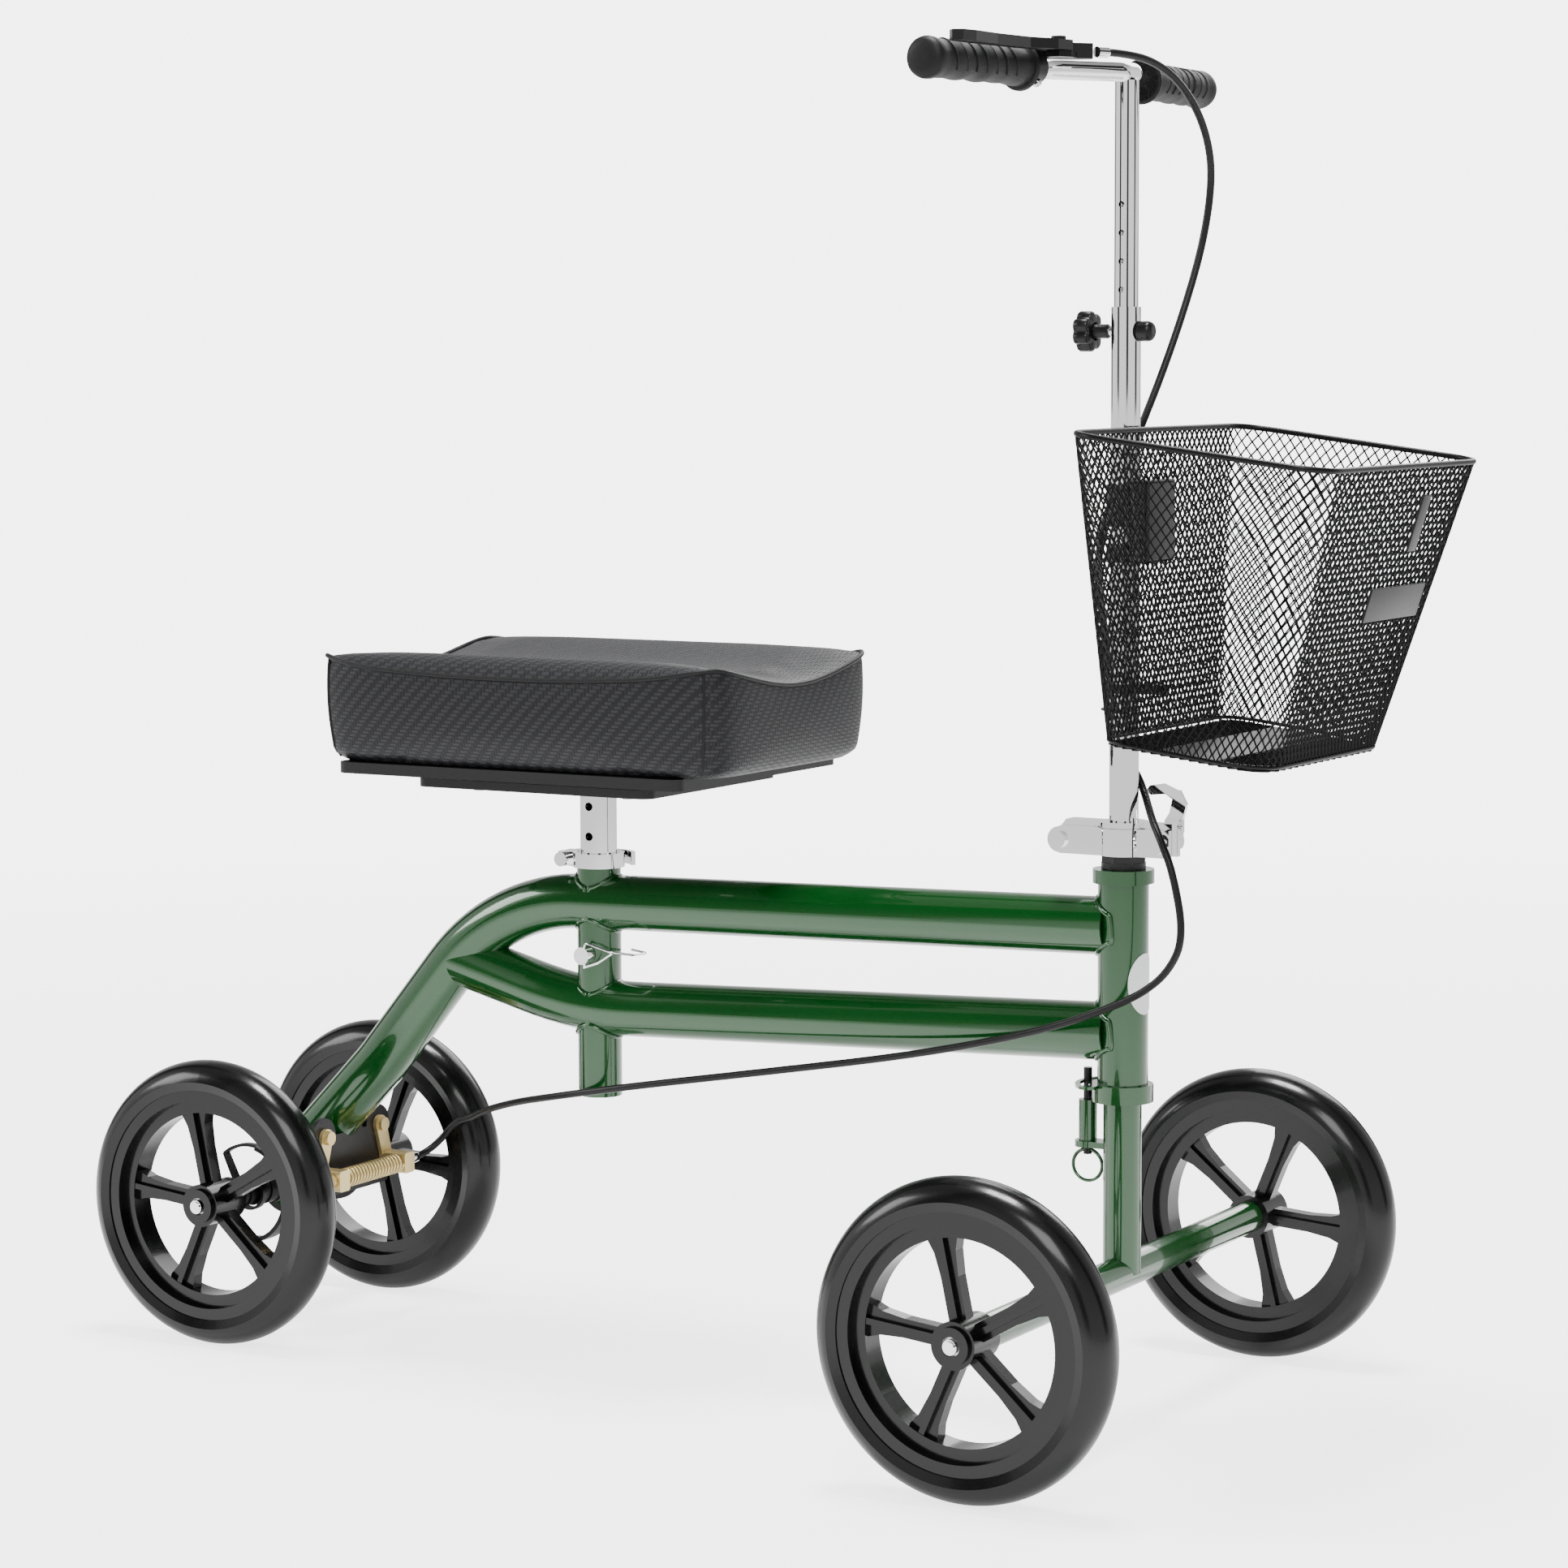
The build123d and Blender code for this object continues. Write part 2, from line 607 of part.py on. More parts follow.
with BuildPart() as clamp_base:
    with BuildSketch(Plane.XY.offset(NUT_TOP + SEAT)):
        Circle(CLAMP_R)
        strip((FOLD_X, -REAR_EAR[1]), (-8, REAR_EAR[1]))
        strip((8, -FRONT_EAR[1]), (CLAMP_BOLT_X + 8, FRONT_EAR[1]))
    extrude(amount=CLAMP_TOP - NUT_TOP - SEAT)
    for side in (-1, 1):
        with BuildSketch(flank(FOLD_X, side * REAR_EAR[0], FOLD_Z)):
            Circle(8.5)
        extrude(amount=-side * (REAR_EAR[1] - REAR_EAR[0]))
    with BuildSketch(Plane.XY.offset(NUT_TOP)):
        Circle(STEM_R + SEAT)
        strip((FOLD_X - 10, -REAR_EAR[0]), (-CLAMP_R - 0.5, REAR_EAR[0]))
        strip((CLAMP_R + 0.5, -FRONT_EAR[0]), (CLAMP_BOLT_X + 10, FRONT_EAR[0]))
    extrude(amount=CLAMP_TOP, mode=Mode.SUBTRACT)
    with BuildSketch(flank(0, 0, 0)):
        with Locations((FOLD_X, FOLD_Z)):
            Circle(FOLD_PIN_R + SEAT)
        with Locations((CLAMP_BOLT_X, FOLD_Z)):
            Circle(CLAMP_BOLT_R + SEAT)
    extrude(amount=20, both=True, mode=Mode.SUBTRACT)
write(clamp_base, "clamp_base")

with BuildPart() as fold_pin:
    with BuildSketch(across(FOLD_X, 0, FOLD_Z)):
        span(-REAR_EAR[1] - 1, REAR_EAR[1] + 1, FOLD_PIN_R)
        span(-REAR_EAR[1] - 3, -REAR_EAR[1] - SEAT, 5.5)
        span(REAR_EAR[1] + SEAT, REAR_EAR[1] + 2, 4.5)
    revolve(axis=Axis((FOLD_X, 0, FOLD_Z), (0, 1, 0)))
write(fold_pin, "fold_pin")

with BuildPart() as clamp_bolt:
    with BuildSketch(across(CLAMP_BOLT_X, 0, FOLD_Z)):
        span(-FRONT_EAR[1] - 4, LEVER_Y + 2, CLAMP_BOLT_R)
        span(-FRONT_EAR[1] - 5, -FRONT_EAR[1] - SEAT, 6.5)
    revolve(axis=Axis((CLAMP_BOLT_X, 0, FOLD_Z), (0, 1, 0)))
    with BuildSketch(Plane.YZ.offset(CLAMP_BOLT_X)):
        with Locations((LEVER_Y, FOLD_Z)):
            Circle(2.0)
    extrude(amount=6.5, both=True)
write(clamp_bolt, "clamp_bolt")

CHEEK = (3.0, 6.4)
with BuildPart() as clamp_lever:
    for side in (-1, 1):
        with BuildSketch(Plane.YZ.offset(CLAMP_BOLT_X + side * CHEEK[0])):
            with Locations((LEVER_Y, FOLD_Z)):
                Circle(CAM_R)
            strip((LEVER_Y - 1, FOLD_Z), (LEVER_Y + CAM_R - 1, FOLD_Z + 9))
        extrude(amount=side * (CHEEK[1] - CHEEK[0]))
    with BuildSketch(flank(CLAMP_BOLT_X, LEVER_Y + 1.5, FOLD_Z)):
        Polygon(
            (CHEEK[1], 5.5), (CHEEK[1], 14), (9, 24), (4, 33), (-6, 37), (-17, 35),
            (-20, 31), (-16, 29), (-6, 30), (-1, 27), (-3, 18), (-CHEEK[1], 13),
            (-CHEEK[1], 5.5), align=None,
        )
    extrude(amount=-(CAM_R - 1.5))
    with BuildSketch(Plane.YZ.offset(CLAMP_BOLT_X)):
        with Locations((LEVER_Y, FOLD_Z)):
            Circle(2.0 + FIT)
    extrude(amount=8, both=True, mode=Mode.SUBTRACT)
write(clamp_lever, "clamp_lever")

# ---------------------------------------------------------------- column
with BuildPart() as clamp_cap:
    with BuildSketch(Plane.XY.offset(CLAMP_TOP + GAP)):
        Circle(CLAMP_R)
        strip((FOLD_X + 2, -REAR_EAR[0] + GAP), (-6, REAR_EAR[0] - GAP))
        strip((6, -FRONT_EAR[0] + GAP + 0.2), (CLAMP_BOLT_X + 8, FRONT_EAR[0] - GAP - 0.2))
    extrude(amount=CAP_TOP - CLAMP_TOP - GAP)
    with BuildSketch(flank(0, 0, 0)):
        with Locations((FOLD_X, FOLD_Z)):
            Circle(7.5)
        Polygon(
            (FOLD_X - 7, FOLD_Z + 2), (FOLD_X + 2, CAP_TOP), (-CLAMP_R - 2, CAP_TOP),
            (-CLAMP_R - 2, CLAMP_TOP), (FOLD_X + 6, FOLD_Z - 4), align=None,
        )
    extrude(amount=REAR_EAR[0] - GAP, both=True)
    with BuildSketch(flank(0, 0, 0)):
        strip((CLAMP_R + 1.2, NUT_TOP + 2), (CLAMP_BOLT_X + 8, CAP_TOP))
    extrude(amount=FRONT_EAR[0] - GAP - 0.2, both=True)
    with BuildSketch(flank(0, 0, 0)):
        with Locations((FOLD_X, FOLD_Z)):
            Circle(FOLD_PIN_R + FIT)
        strip((CLAMP_BOLT_X - 3.4, NUT_TOP), (CLAMP_BOLT_X + 3.4, FOLD_Z + 3))
    extrude(amount=20, both=True, mode=Mode.SUBTRACT)
write(clamp_cap, "clamp_cap")

with BuildPart() as column_tube:
    with BuildSketch(Plane.XY.offset(CAP_TOP + SEAT)):
        Circle(COLUMN_R)
        Circle(BAR_STEM_R + 1.5 * FIT, mode=Mode.SUBTRACT)
    extrude(amount=COLUMN_TOP - CAP_TOP - SEAT)
    with BuildSketch(Plane.YZ):
        with Locations((0, KNOB_Z)):
            Circle(SCREW_R + FIT)
    extrude(amount=2 * COLUMN_R, both=True, mode=Mode.SUBTRACT)
write(column_tube, "column_tube")

tip_x = BAR_STEM_R + 0.3
knob_axis = Axis((0, 0, KNOB_Z), (1, 0, 0))
with BuildPart() as height_knob:
    with BuildSketch(Plane.YZ.offset(-24 - KNOB_T)):
        with Locations((0, KNOB_Z)):
            Circle(KNOB_R - 2)
            with PolarLocations(KNOB_R - 3.4, 6):
                Circle(3.4)
    extrude(amount=KNOB_T)
    with BuildSketch(Plane.YZ.offset(-26)):
        with Locations((0, KNOB_Z)):
            Circle(SCREW_R)
    extrude(amount=26 - tip_x)
write(height_knob, "height_knob")

with BuildPart() as front_stud:
    with BuildSketch(Plane.YZ.offset(tip_x)):
        with Locations((0, KNOB_Z)):
            Circle(SCREW_R - SEAT)
    extrude(amount=4)
    with BuildSketch(Plane.YZ.offset(COLUMN_R + SEAT)):
        with Locations((0, KNOB_Z)):
            Circle(6.5)
    extrude(amount=10)
    fillet(front_stud.faces().sort_by(Axis.X)[-1].edges(), 4)
write(front_stud, "front_stud")

band_r = COLUMN_R + 2.6
with BuildPart() as basket_brackets:
    with BuildSketch(Plane.XY.offset(BRACKET_Z[0])):
        strip((BRACKET_FACE - 3.5, -BRACKET_HALF_W), (BRACKET_FACE, BRACKET_HALF_W))
        strip((6, -9), (BRACKET_FACE - 2, 9))
    extrude(amount=BRACKET_Z[1] - BRACKET_Z[0])
    for low, high in ((BRACKET_Z[1] - 27, BRACKET_Z[1]), (BRACKET_Z[0], BRACKET_Z[0] + 12)):
        with BuildSketch(Plane.XY.offset(low)):
            Circle(band_r)
        extrude(amount=high - low)
    with BuildSketch(Plane.XY.offset(STAY_Z - 3)):
        with BuildLine():
            turn = radians(110)
            Line((0, 0), (band_r * cos(turn), -band_r * sin(turn)))
            CenterArc((0, 0), band_r, -110, 220)
            Line((band_r * cos(turn), band_r * sin(turn)), (0, 0))
        make_face()
        strip((6, -7), (28.2, 7))
    extrude(amount=6)
    with BuildSketch(Plane.XY.offset(STAY_Z - 4)):
        Circle(COLUMN_R + SEAT)
    extrude(amount=BRACKET_Z[1], mode=Mode.SUBTRACT)
write(basket_brackets, "basket_brackets")


def basket_level(centre, size, corner, inset):
    """Sketch plane and rounded outline of one level of the basket."""
    tilt = radians(BASKET_TILT)
    plane = Plane(
        origin=(centre[0], 0, centre[1]),
        x_dir=(cos(tilt), 0, -sin(tilt)), z_dir=(sin(tilt), 0, cos(tilt)),
    )
    return plane, (size[0] - 2 * inset, size[1] - 2 * inset, corner - inset)


with BuildPart() as basket:
    for inset, lift, mode in ((0.0, 0.0, Mode.ADD), (BASKET_WALL, BASKET_WALL, Mode.SUBTRACT)):
        levels = (
            (BASKET_FLOOR, FLOOR_SIZE, FLOOR_CORNER_R, inset, lift),
            (BASKET_RIM, RIM_SIZE, RIM_CORNER_R, inset, lift * 0.3),
        )
        for centre, size, corner, edge, up in levels:
            plane, (length, width, radius) = basket_level(centre, size, corner, edge)
            with BuildSketch(plane.offset(up)):
                RectangleRounded(length, width, radius)
        loft(mode=mode)
    with BuildSketch(Plane.XY.offset(BRACKET_Z[0] + 2)):
        outer_y = BRACKET_HALF_W + GAP + 3
        strip((BRACKET_FACE + GAP, -outer_y), (BRACKET_FACE + 5.2, outer_y))
        for side in (-1, 1):
            with Locations((BRACKET_FACE - 2.1, side * (outer_y - 1.5))):
                Rectangle(11, 3)
            with Locations((BRACKET_FACE - 6.1, side * (outer_y - 4.5))):
                Rectangle(3, 9)
    extrude(amount=BRACKET_Z[1] - BRACKET_Z[0] - 2)
    with BuildSketch(Plane.XY.offset(BRACKET_Z[1] + GAP)):
        strip((BRACKET_FACE - 3, -outer_y), (BRACKET_FACE + 4.6, outer_y))
    extrude(amount=3)
    with BuildSketch(Plane.XY.offset(BRACKET_Z[1] - 0.1)):
        strip((BRACKET_FACE + GAP, -outer_y), (BRACKET_FACE + 4.6, outer_y))
    extrude(amount=3)
write(basket, "basket")

# ---------------------------------------------------------------- handlebar
bar_path = [
    (BAR_END[0], -BAR_END[1], BAR_Z),
    (BAR_ELBOW[0], -BAR_ELBOW[1], BAR_Z),
    (0, -BAR_CENTRE_Y, BAR_Z),
    (0, BAR_CENTRE_Y, BAR_Z),
    (BAR_ELBOW[0], BAR_ELBOW[1], BAR_Z),
    (BAR_END[0], BAR_END[1], BAR_Z),
]
with BuildPart() as handlebar:
    add(swept(bar_path, (45, 10, 10, 45), BAR_R, BAR_R - BAR_WALL))
    with BuildSketch(Plane.XY.offset(BAR_STEM_BOTTOM)):
        Circle(BAR_STEM_R)
        Circle(BAR_STEM_R - BAR_STEM_WALL, mode=Mode.SUBTRACT)
    extrude(amount=BAR_Z - 5 - BAR_STEM_BOTTOM)
    with BuildSketch(Plane.XZ):
        for hole in range(HOLE_COUNT):
            with Locations((0, HOLE_TOP_Z - hole * HOLE_PITCH)):
                Circle(HOLE_R)
    extrude(amount=2 * BAR_STEM_R, mode=Mode.SUBTRACT)
write(handlebar, "handlebar")

lean = (BAR_END[0] - BAR_ELBOW[0]) / (BAR_END[1] - BAR_ELBOW[1])


def bar_plane(y):
    """Plane square to the outer run of the bar where it crosses the given station."""
    side = 1 if y > 0 else -1
    centre_x = BAR_ELBOW[0] + lean * (abs(y) - BAR_ELBOW[1])
    return Plane(origin=(centre_x, y, BAR_Z), x_dir=(0, 0, 1), z_dir=(lean, side, 0))


grip_len = (BAR_END[1] - GRIP_START) * (1 + lean * lean) ** 0.5 + GRIP_CAP
for side, label in ((-1, "grip_right"), (1, "grip_left")):
    with BuildPart() as grip:
        with BuildSketch(bar_plane(side * GRIP_START)):
            Circle(GRIP_R)
        extrude(amount=grip_len)
        fillet(grip.faces().sort_by(Axis.Y)[-1 if side > 0 else 0].edges(), 5)
        with BuildSketch(bar_plane(side * GRIP_START)):
            Circle(GRIP_R + 2.5)
        extrude(amount=3)
        with BuildSketch(bar_plane(side * GRIP_START)):
            Circle(BAR_R + SEAT)
        extrude(amount=grip_len - GRIP_CAP + 0.4, mode=Mode.SUBTRACT)
    write(grip, label)

LEVER_PIVOT = (-7.0, -84.0)
PERCH = (881.0, 890.5)
LEVER_Z = (885.0, 891.3)
lip_top = LEVER_Z[0] - GAP
with BuildPart() as brake_perch:
    with BuildSketch(bar_plane(-71)):
        Circle(10.5)
    extrude(amount=12)
    with BuildSketch(Plane.XY.offset(PERCH[0])):
        Polygon(
            (-36, -82), (-36, -72), (-22, -71), (-12, -59), (2, -55), (6, -62), (-3, -73),
            (-13, -75), (-20, -82), align=None,
        )
    extrude(amount=PERCH[1] - PERCH[0])
    with BuildSketch(Plane.XY.offset(PERCH[0])):
        Polygon(
            (-14, -83.5), (-11.5, -92), (-2, -93), (2, -84), (0, -72), (-20, -72), align=None,
        )
    extrude(amount=lip_top - PERCH[0])
    with BuildSketch(Plane.XY.offset(PERCH[0])):
        with Locations(LEVER_PIVOT):
            Circle(2.5)
    extrude(amount=LEVER_Z[1] + 2.3 - PERCH[0])
    with BuildSketch(Plane.XY.offset(LEVER_Z[1] + GAP)):
        with Locations(LEVER_PIVOT):
            Circle(4.6)
    extrude(amount=2.4)
    with BuildSketch(bar_plane(-68)):
        Circle(BAR_R + SEAT)
    extrude(amount=20, mode=Mode.SUBTRACT)
write(brake_perch, "brake_perch")

with BuildPart() as brake_lever:
    with BuildSketch(Plane.XY.offset(LEVER_Z[0])):
        Polygon(
            (-12, -77.5), (-3, -76.5), (3, -84), (1, -100), (-7, -122), (-10, -160),
            (-9, -190), (-11, -203), (-17, -206), (-22, -200), (-23, -188), (-21.5, -160),
            (-19, -124), (-15, -100), (-14, -84), align=None,
        )
        with Locations(LEVER_PIVOT):
            Circle(2.5 + FIT, mode=Mode.SUBTRACT)
        Polygon(
            (-12, -118), (-14.6, -160), (-16, -182), (-18.5, -182), (-17, -160), (-14.4, -118),
            align=None, mode=Mode.SUBTRACT,
        )
    extrude(amount=LEVER_Z[1] - LEVER_Z[0])
write(brake_lever, "brake_lever")

adjuster_dir = Vector(0.385, 0.923, 0)
adjuster_at = Vector(3.2, -59.5, 885.5)
with BuildPart() as cable_adjuster:
    with BuildSketch(Plane(origin=adjuster_at + 5 * adjuster_dir, z_dir=adjuster_dir)):
        Circle(3.5)
    extrude(amount=8.6)
write(cable_adjuster, "cable_adjuster")

# ---------------------------------------------------------------- seat
with BuildPart() as seat_collar:
    with BuildSketch(Plane.XY.offset(SEAT_TUBE_TOP - COLLAR_H)):
        with Locations((SEAT_X, 0)):
            Circle(COLLAR_R)
        strip((COLLAR_BOLT_X - 5.5, -8), (SEAT_X - 12, 8))
        with Locations((SEAT_X, 0)):
            Circle(SEAT_TUBE_R + SEAT, mode=Mode.SUBTRACT)
        Polygon(
            (COLLAR_BOLT_X - 7, -1.5), (SEAT_X - 8, -1.5), (SEAT_X - 8, 1.5),
            (COLLAR_BOLT_X - 7, 1.5), align=None, mode=Mode.SUBTRACT,
        )
    extrude(amount=COLLAR_H)
    with BuildSketch(flank(COLLAR_BOLT_X, 0, SEAT_TUBE_TOP - COLLAR_H / 2)):
        Circle(2.5 + SEAT)
    extrude(amount=10, both=True, mode=Mode.SUBTRACT)
write(seat_collar, "seat_collar")

collar_z = SEAT_TUBE_TOP - COLLAR_H / 2
cam_y = 12.0
with BuildPart() as seat_collar_bolt:
    with BuildSketch(across(COLLAR_BOLT_X, 0, collar_z)):
        span(-13, cam_y + 1.1, 2.5)
        span(-14, -8 - SEAT, 5.0)
    revolve(axis=Axis((COLLAR_BOLT_X, 0, collar_z), (0, 1, 0)))
    with BuildSketch(Plane.XY.offset(collar_z)):
        with Locations((COLLAR_BOLT_X, cam_y)):
            Circle(1.8)
    extrude(amount=4.6, both=True)
write(seat_collar_bolt, "seat_collar_bolt")

with BuildPart() as seat_lever:
    with BuildSketch(Plane.XY.offset(collar_z)):
        with Locations((COLLAR_BOLT_X, cam_y)):
            Circle(3.7)
        SlotArc(
            CenterArc((SEAT_X, 0), COLLAR_R + 5.9, 150, -110), 3.4
        )
    extrude(amount=4.6, both=True)
    with BuildSketch(Plane.XY.offset(collar_z)):
        strip((COLLAR_BOLT_X - 9, cam_y - 8), (COLLAR_BOLT_X + 2.8, cam_y + 8))
    extrude(amount=2.8, both=True, mode=Mode.SUBTRACT)
    with BuildSketch(Plane.XY.offset(collar_z)):
        with Locations((COLLAR_BOLT_X, cam_y)):
            Circle(1.8 + FIT)
    extrude(amount=6, both=True, mode=Mode.SUBTRACT)
write(seat_lever, "seat_lever")

post_top = PLATE_Z - SEAT
slot_low = LOCK_Z - SEAT_UP - LOCK_R - 0.5
slot_high = LOCK_Z + SEAT_DOWN + LOCK_R + 0.5
with BuildPart() as seat_post:
    with BuildSketch(Plane.XY.offset(POST_BOTTOM)):
        with Locations((SEAT_X, 0)):
            Circle(POST_R)
            Circle(POST_R - POST_WALL, mode=Mode.SUBTRACT)
    extrude(amount=post_top - POST_BOTTOM)
    with BuildSketch(flank(SEAT_X, 0, (slot_low + slot_high) / 2)):
        Rectangle(2 * LOCK_R + 1, slot_high - slot_low)
    extrude(amount=2 * POST_R, both=True, mode=Mode.SUBTRACT)
    with BuildSketch(flank(SEAT_X, 0, 0)):
        for hole_z in (366.8, 387.7):
            with Locations((0, hole_z)):
                Circle(LOCK_R)
    extrude(amount=2 * POST_R, mode=Mode.SUBTRACT)
write(seat_post, "seat_post")


def tray(rear, front, half, low, high):
    """Folded sheet: a flat top with flanges turned down on all four sides."""
    middle = (rear + front) / 2
    with BuildPart() as body:
        with BuildSketch(Plane.XY.offset(low)):
            with Locations((middle, 0)):
                RectangleRounded(front - rear, 2 * half, 9)
        extrude(amount=high - low)
        with BuildSketch(Plane.XY.offset(low)):
            with Locations((middle, 0)):
                RectangleRounded(front - rear - 2 * SHEET_T, 2 * (half - SHEET_T), 7)
        extrude(amount=high - low - SHEET_T, mode=Mode.SUBTRACT)
    return body.part


upper_low = PLATE_Z + PLATE_H + 3
with BuildPart() as seat_plates:
    add(tray(*UPPER_PLATE, upper_low, upper_low + LIP_H))
    with BuildSketch(Plane.XY.offset(PLATE_Z)):
        with Locations(((LOWER_PLATE[0] + LOWER_PLATE[1]) / 2, 0)):
            RectangleRounded(LOWER_PLATE[1] - LOWER_PLATE[0], 2 * LOWER_PLATE[2], 9)
    extrude(amount=PLATE_H)
    with BuildSketch(Plane.XY.offset(PLATE_Z + PLATE_H - 1)):
        with Locations(((UPPER_PLATE[0] + UPPER_PLATE[1]) / 2, 0)):
            Rectangle(120, 100)
    extrude(amount=LIP_H + 3)
write(seat_plates, "seat_plates")

pad_low = upper_low + LIP_H + SEAT
dip_r = (PAD_HALF_W * PAD_HALF_W + PAD_DIP * PAD_DIP) / (2 * PAD_DIP)
with BuildPart() as seat_pad:
    with BuildSketch(Plane.XY.offset(pad_low)):
        with Locations(((PAD_REAR + PAD_FRONT) / 2, 0)):
            RectangleRounded(PAD_FRONT - PAD_REAR, 2 * PAD_HALF_W, 22)
    extrude(amount=PAD_H, taper=-PAD_FLARE)
    with BuildSketch(Plane.YZ.offset(PAD_REAR - 20)):
        with Locations((0, pad_low + PAD_H - PAD_DIP + dip_r)):
            Circle(dip_r)
    extrude(amount=PAD_FRONT - PAD_REAR + 40, mode=Mode.SUBTRACT)
write(seat_pad, "seat_pad")

with BuildPart() as seat_pin:
    with BuildSketch(across(SEAT_X, 0, LOCK_Z)):
        span(-SEAT_TUBE_R - GAP - 1, SEAT_TUBE_R + 5, LOCK_R)
        span(-SEAT_TUBE_R - GAP - 8.5, -SEAT_TUBE_R - GAP, LOCK_HEAD_R)
    revolve(axis=Axis((SEAT_X, 0, LOCK_Z), (0, 1, 0)))
    with BuildSketch(Plane.XY.offset(LOCK_Z)):
        with Locations((SEAT_X, -SEAT_TUBE_R - GAP - 4.2)):
            Circle(BAIL_R + 0.1)
    extrude(amount=10, both=True, mode=Mode.SUBTRACT)
write(seat_pin, "seat_pin")

bail_y = -SEAT_TUBE_R - GAP - 4.2
bail_path = [
    (SEAT_X, bail_y, LOCK_Z - LOCK_HEAD_R - 3),
    (SEAT_X, bail_y, LOCK_Z + LOCK_HEAD_R + 3),
    (SEAT_X + 24, bail_y - 3, LOCK_Z + 4),
    (SEAT_X + 33, -8, LOCK_Z + 1),
    (SEAT_X + 33, 10, LOCK_Z),
    (SEAT_X + 14, 20, LOCK_Z),
]
with BuildPart() as pin_bail:
    add(swept(bail_path, (3, 5, 9, 9), BAIL_R))
    add(swept(
        [(SEAT_X, bail_y, LOCK_Z - LOCK_HEAD_R - 2.4), (SEAT_X + 12, bail_y - 1.5, LOCK_Z - 4.5),
         (SEAT_X + 25, bail_y - 3, LOCK_Z + 3.4)], (12,), BAIL_R,
    ))
write(pin_bail, "pin_bail")

# ---------------------------------------------------------------- brake cable
CABLE_UPPER = [
    (8.6, -46.5, 885.5), (13.8, -34, 885.5), (23, -11, 882), (30, 12, 871), (34, 36, 851),
    (34.5, 53, 826), (31, 61, 800), (26, 58, 765), (19.5, 45, 725), (12, 27, 683),
    (3, 15.2, 650), (-7, 14.4, 625), (-14.6, 9, 603), (-18, 1.5, 582), (-19, -1, 556),
    (-16, 0, 530), (-12.7, 2.5, 507), (-12.6, 3.2, 478), (-12.4, 6.2, 455),
    (-7.5, 12.6, 441), (2, 14.2, 428.5), (10.5, 9, 416), (17, 0, 409.5),
]
CABLE_FOLD = [
    (17, 0, 409.5), (24.6, -10.5, 401.9), (35.8, -21, 389.5), (46.5, -25, 370), (51, -26, 350),
]
CABLE_LOWER = [
    (51, -26, 350), (55.7, -27, 329), (46, -30, 306), (26, -30.5, 290), (-2, -29.5, 277.5),
    (-32, -27.8, 266), (-70, -26.5, 254.5), (-119, -26.8, 242.6), (-170, -26.4, 232),
    (-222, -26.8, 222.6), (-281, -26.4, 212), (-336, -26.2, 202.3), (-388, -25, 192.5),
    (-432, -16, 183), (-476, 3, 172.5), (-520, 30, 158.5), (-548, 53, 147),
    (-566, 66.5, 142), (-580.5, 76, 134), (-591, 76.5, 122.5), (-598, 67, 114),
    (-600, BARREL_END + 0.5, 112),
]
TURN_SHARE = 0.45  # part of the shorter run that each bend takes up


def bend_radii(points):
    """Radius of each bend, as large as the shorter of its two runs allows."""
    radii = []
    for before, at, after in zip(points, points[1:], points[2:]):
        first = Vector(*at) - Vector(*before)
        second = Vector(*after) - Vector(*at)
        shorter = min(first.length, second.length)
        radii.append(TURN_SHARE * shorter / tan(radians(first.get_angle(second)) / 2))
    return radii


def cable(points, label):
    """One length of cable housing, shortened a hair at both ends so that lengths abut."""
    first = Vector(*points[1]) - Vector(*points[0])
    last = Vector(*points[-2]) - Vector(*points[-1])
    ends = (
        Vector(*points[0]) + 0.15 * first.normalized(),
        Vector(*points[-1]) + 0.15 * last.normalized(),
    )
    route = [ends[0]] + [Vector(*point) for point in points[1:-1]] + [ends[1]]
    radii = bend_radii(points)
    with BuildPart() as housing:
        with BuildLine() as way:
            FilletPolyline(*route, radius=radii)
        with BuildSketch(Plane(origin=way.line @ 0, z_dir=way.line % 0)):
            Circle(CABLE_R)
        sweep(path=way.line)
    write(housing, label)
    length = sum(edge.length for edge in way.line.edges())
    share = housing.part.volume / (pi * CABLE_R**2 * length)
    print(label, "length", round(length, 1), "volume share", round(share, 4))
    print(label, "bend radii", [round(radius) for radius in radii])


cable(CABLE_UPPER, "cable_upper")
cable(CABLE_FOLD, "cable_fold")
cable(CABLE_LOWER, "cable_lower")
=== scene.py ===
"""Knee scooter: finishes, upholstery, wire basket, cable and small fittings on its frame.

Every length is in metres in the frame of the solids: +X forward, +Y to the rider's left,
+Z up, with the origin on the floor below the steering axis.
"""

import json
import logging
import math
from dataclasses import dataclass, field
from enum import Enum
from typing import Callable, Iterable, Sequence

import bmesh
import bpy
from mathutils import Matrix, Vector

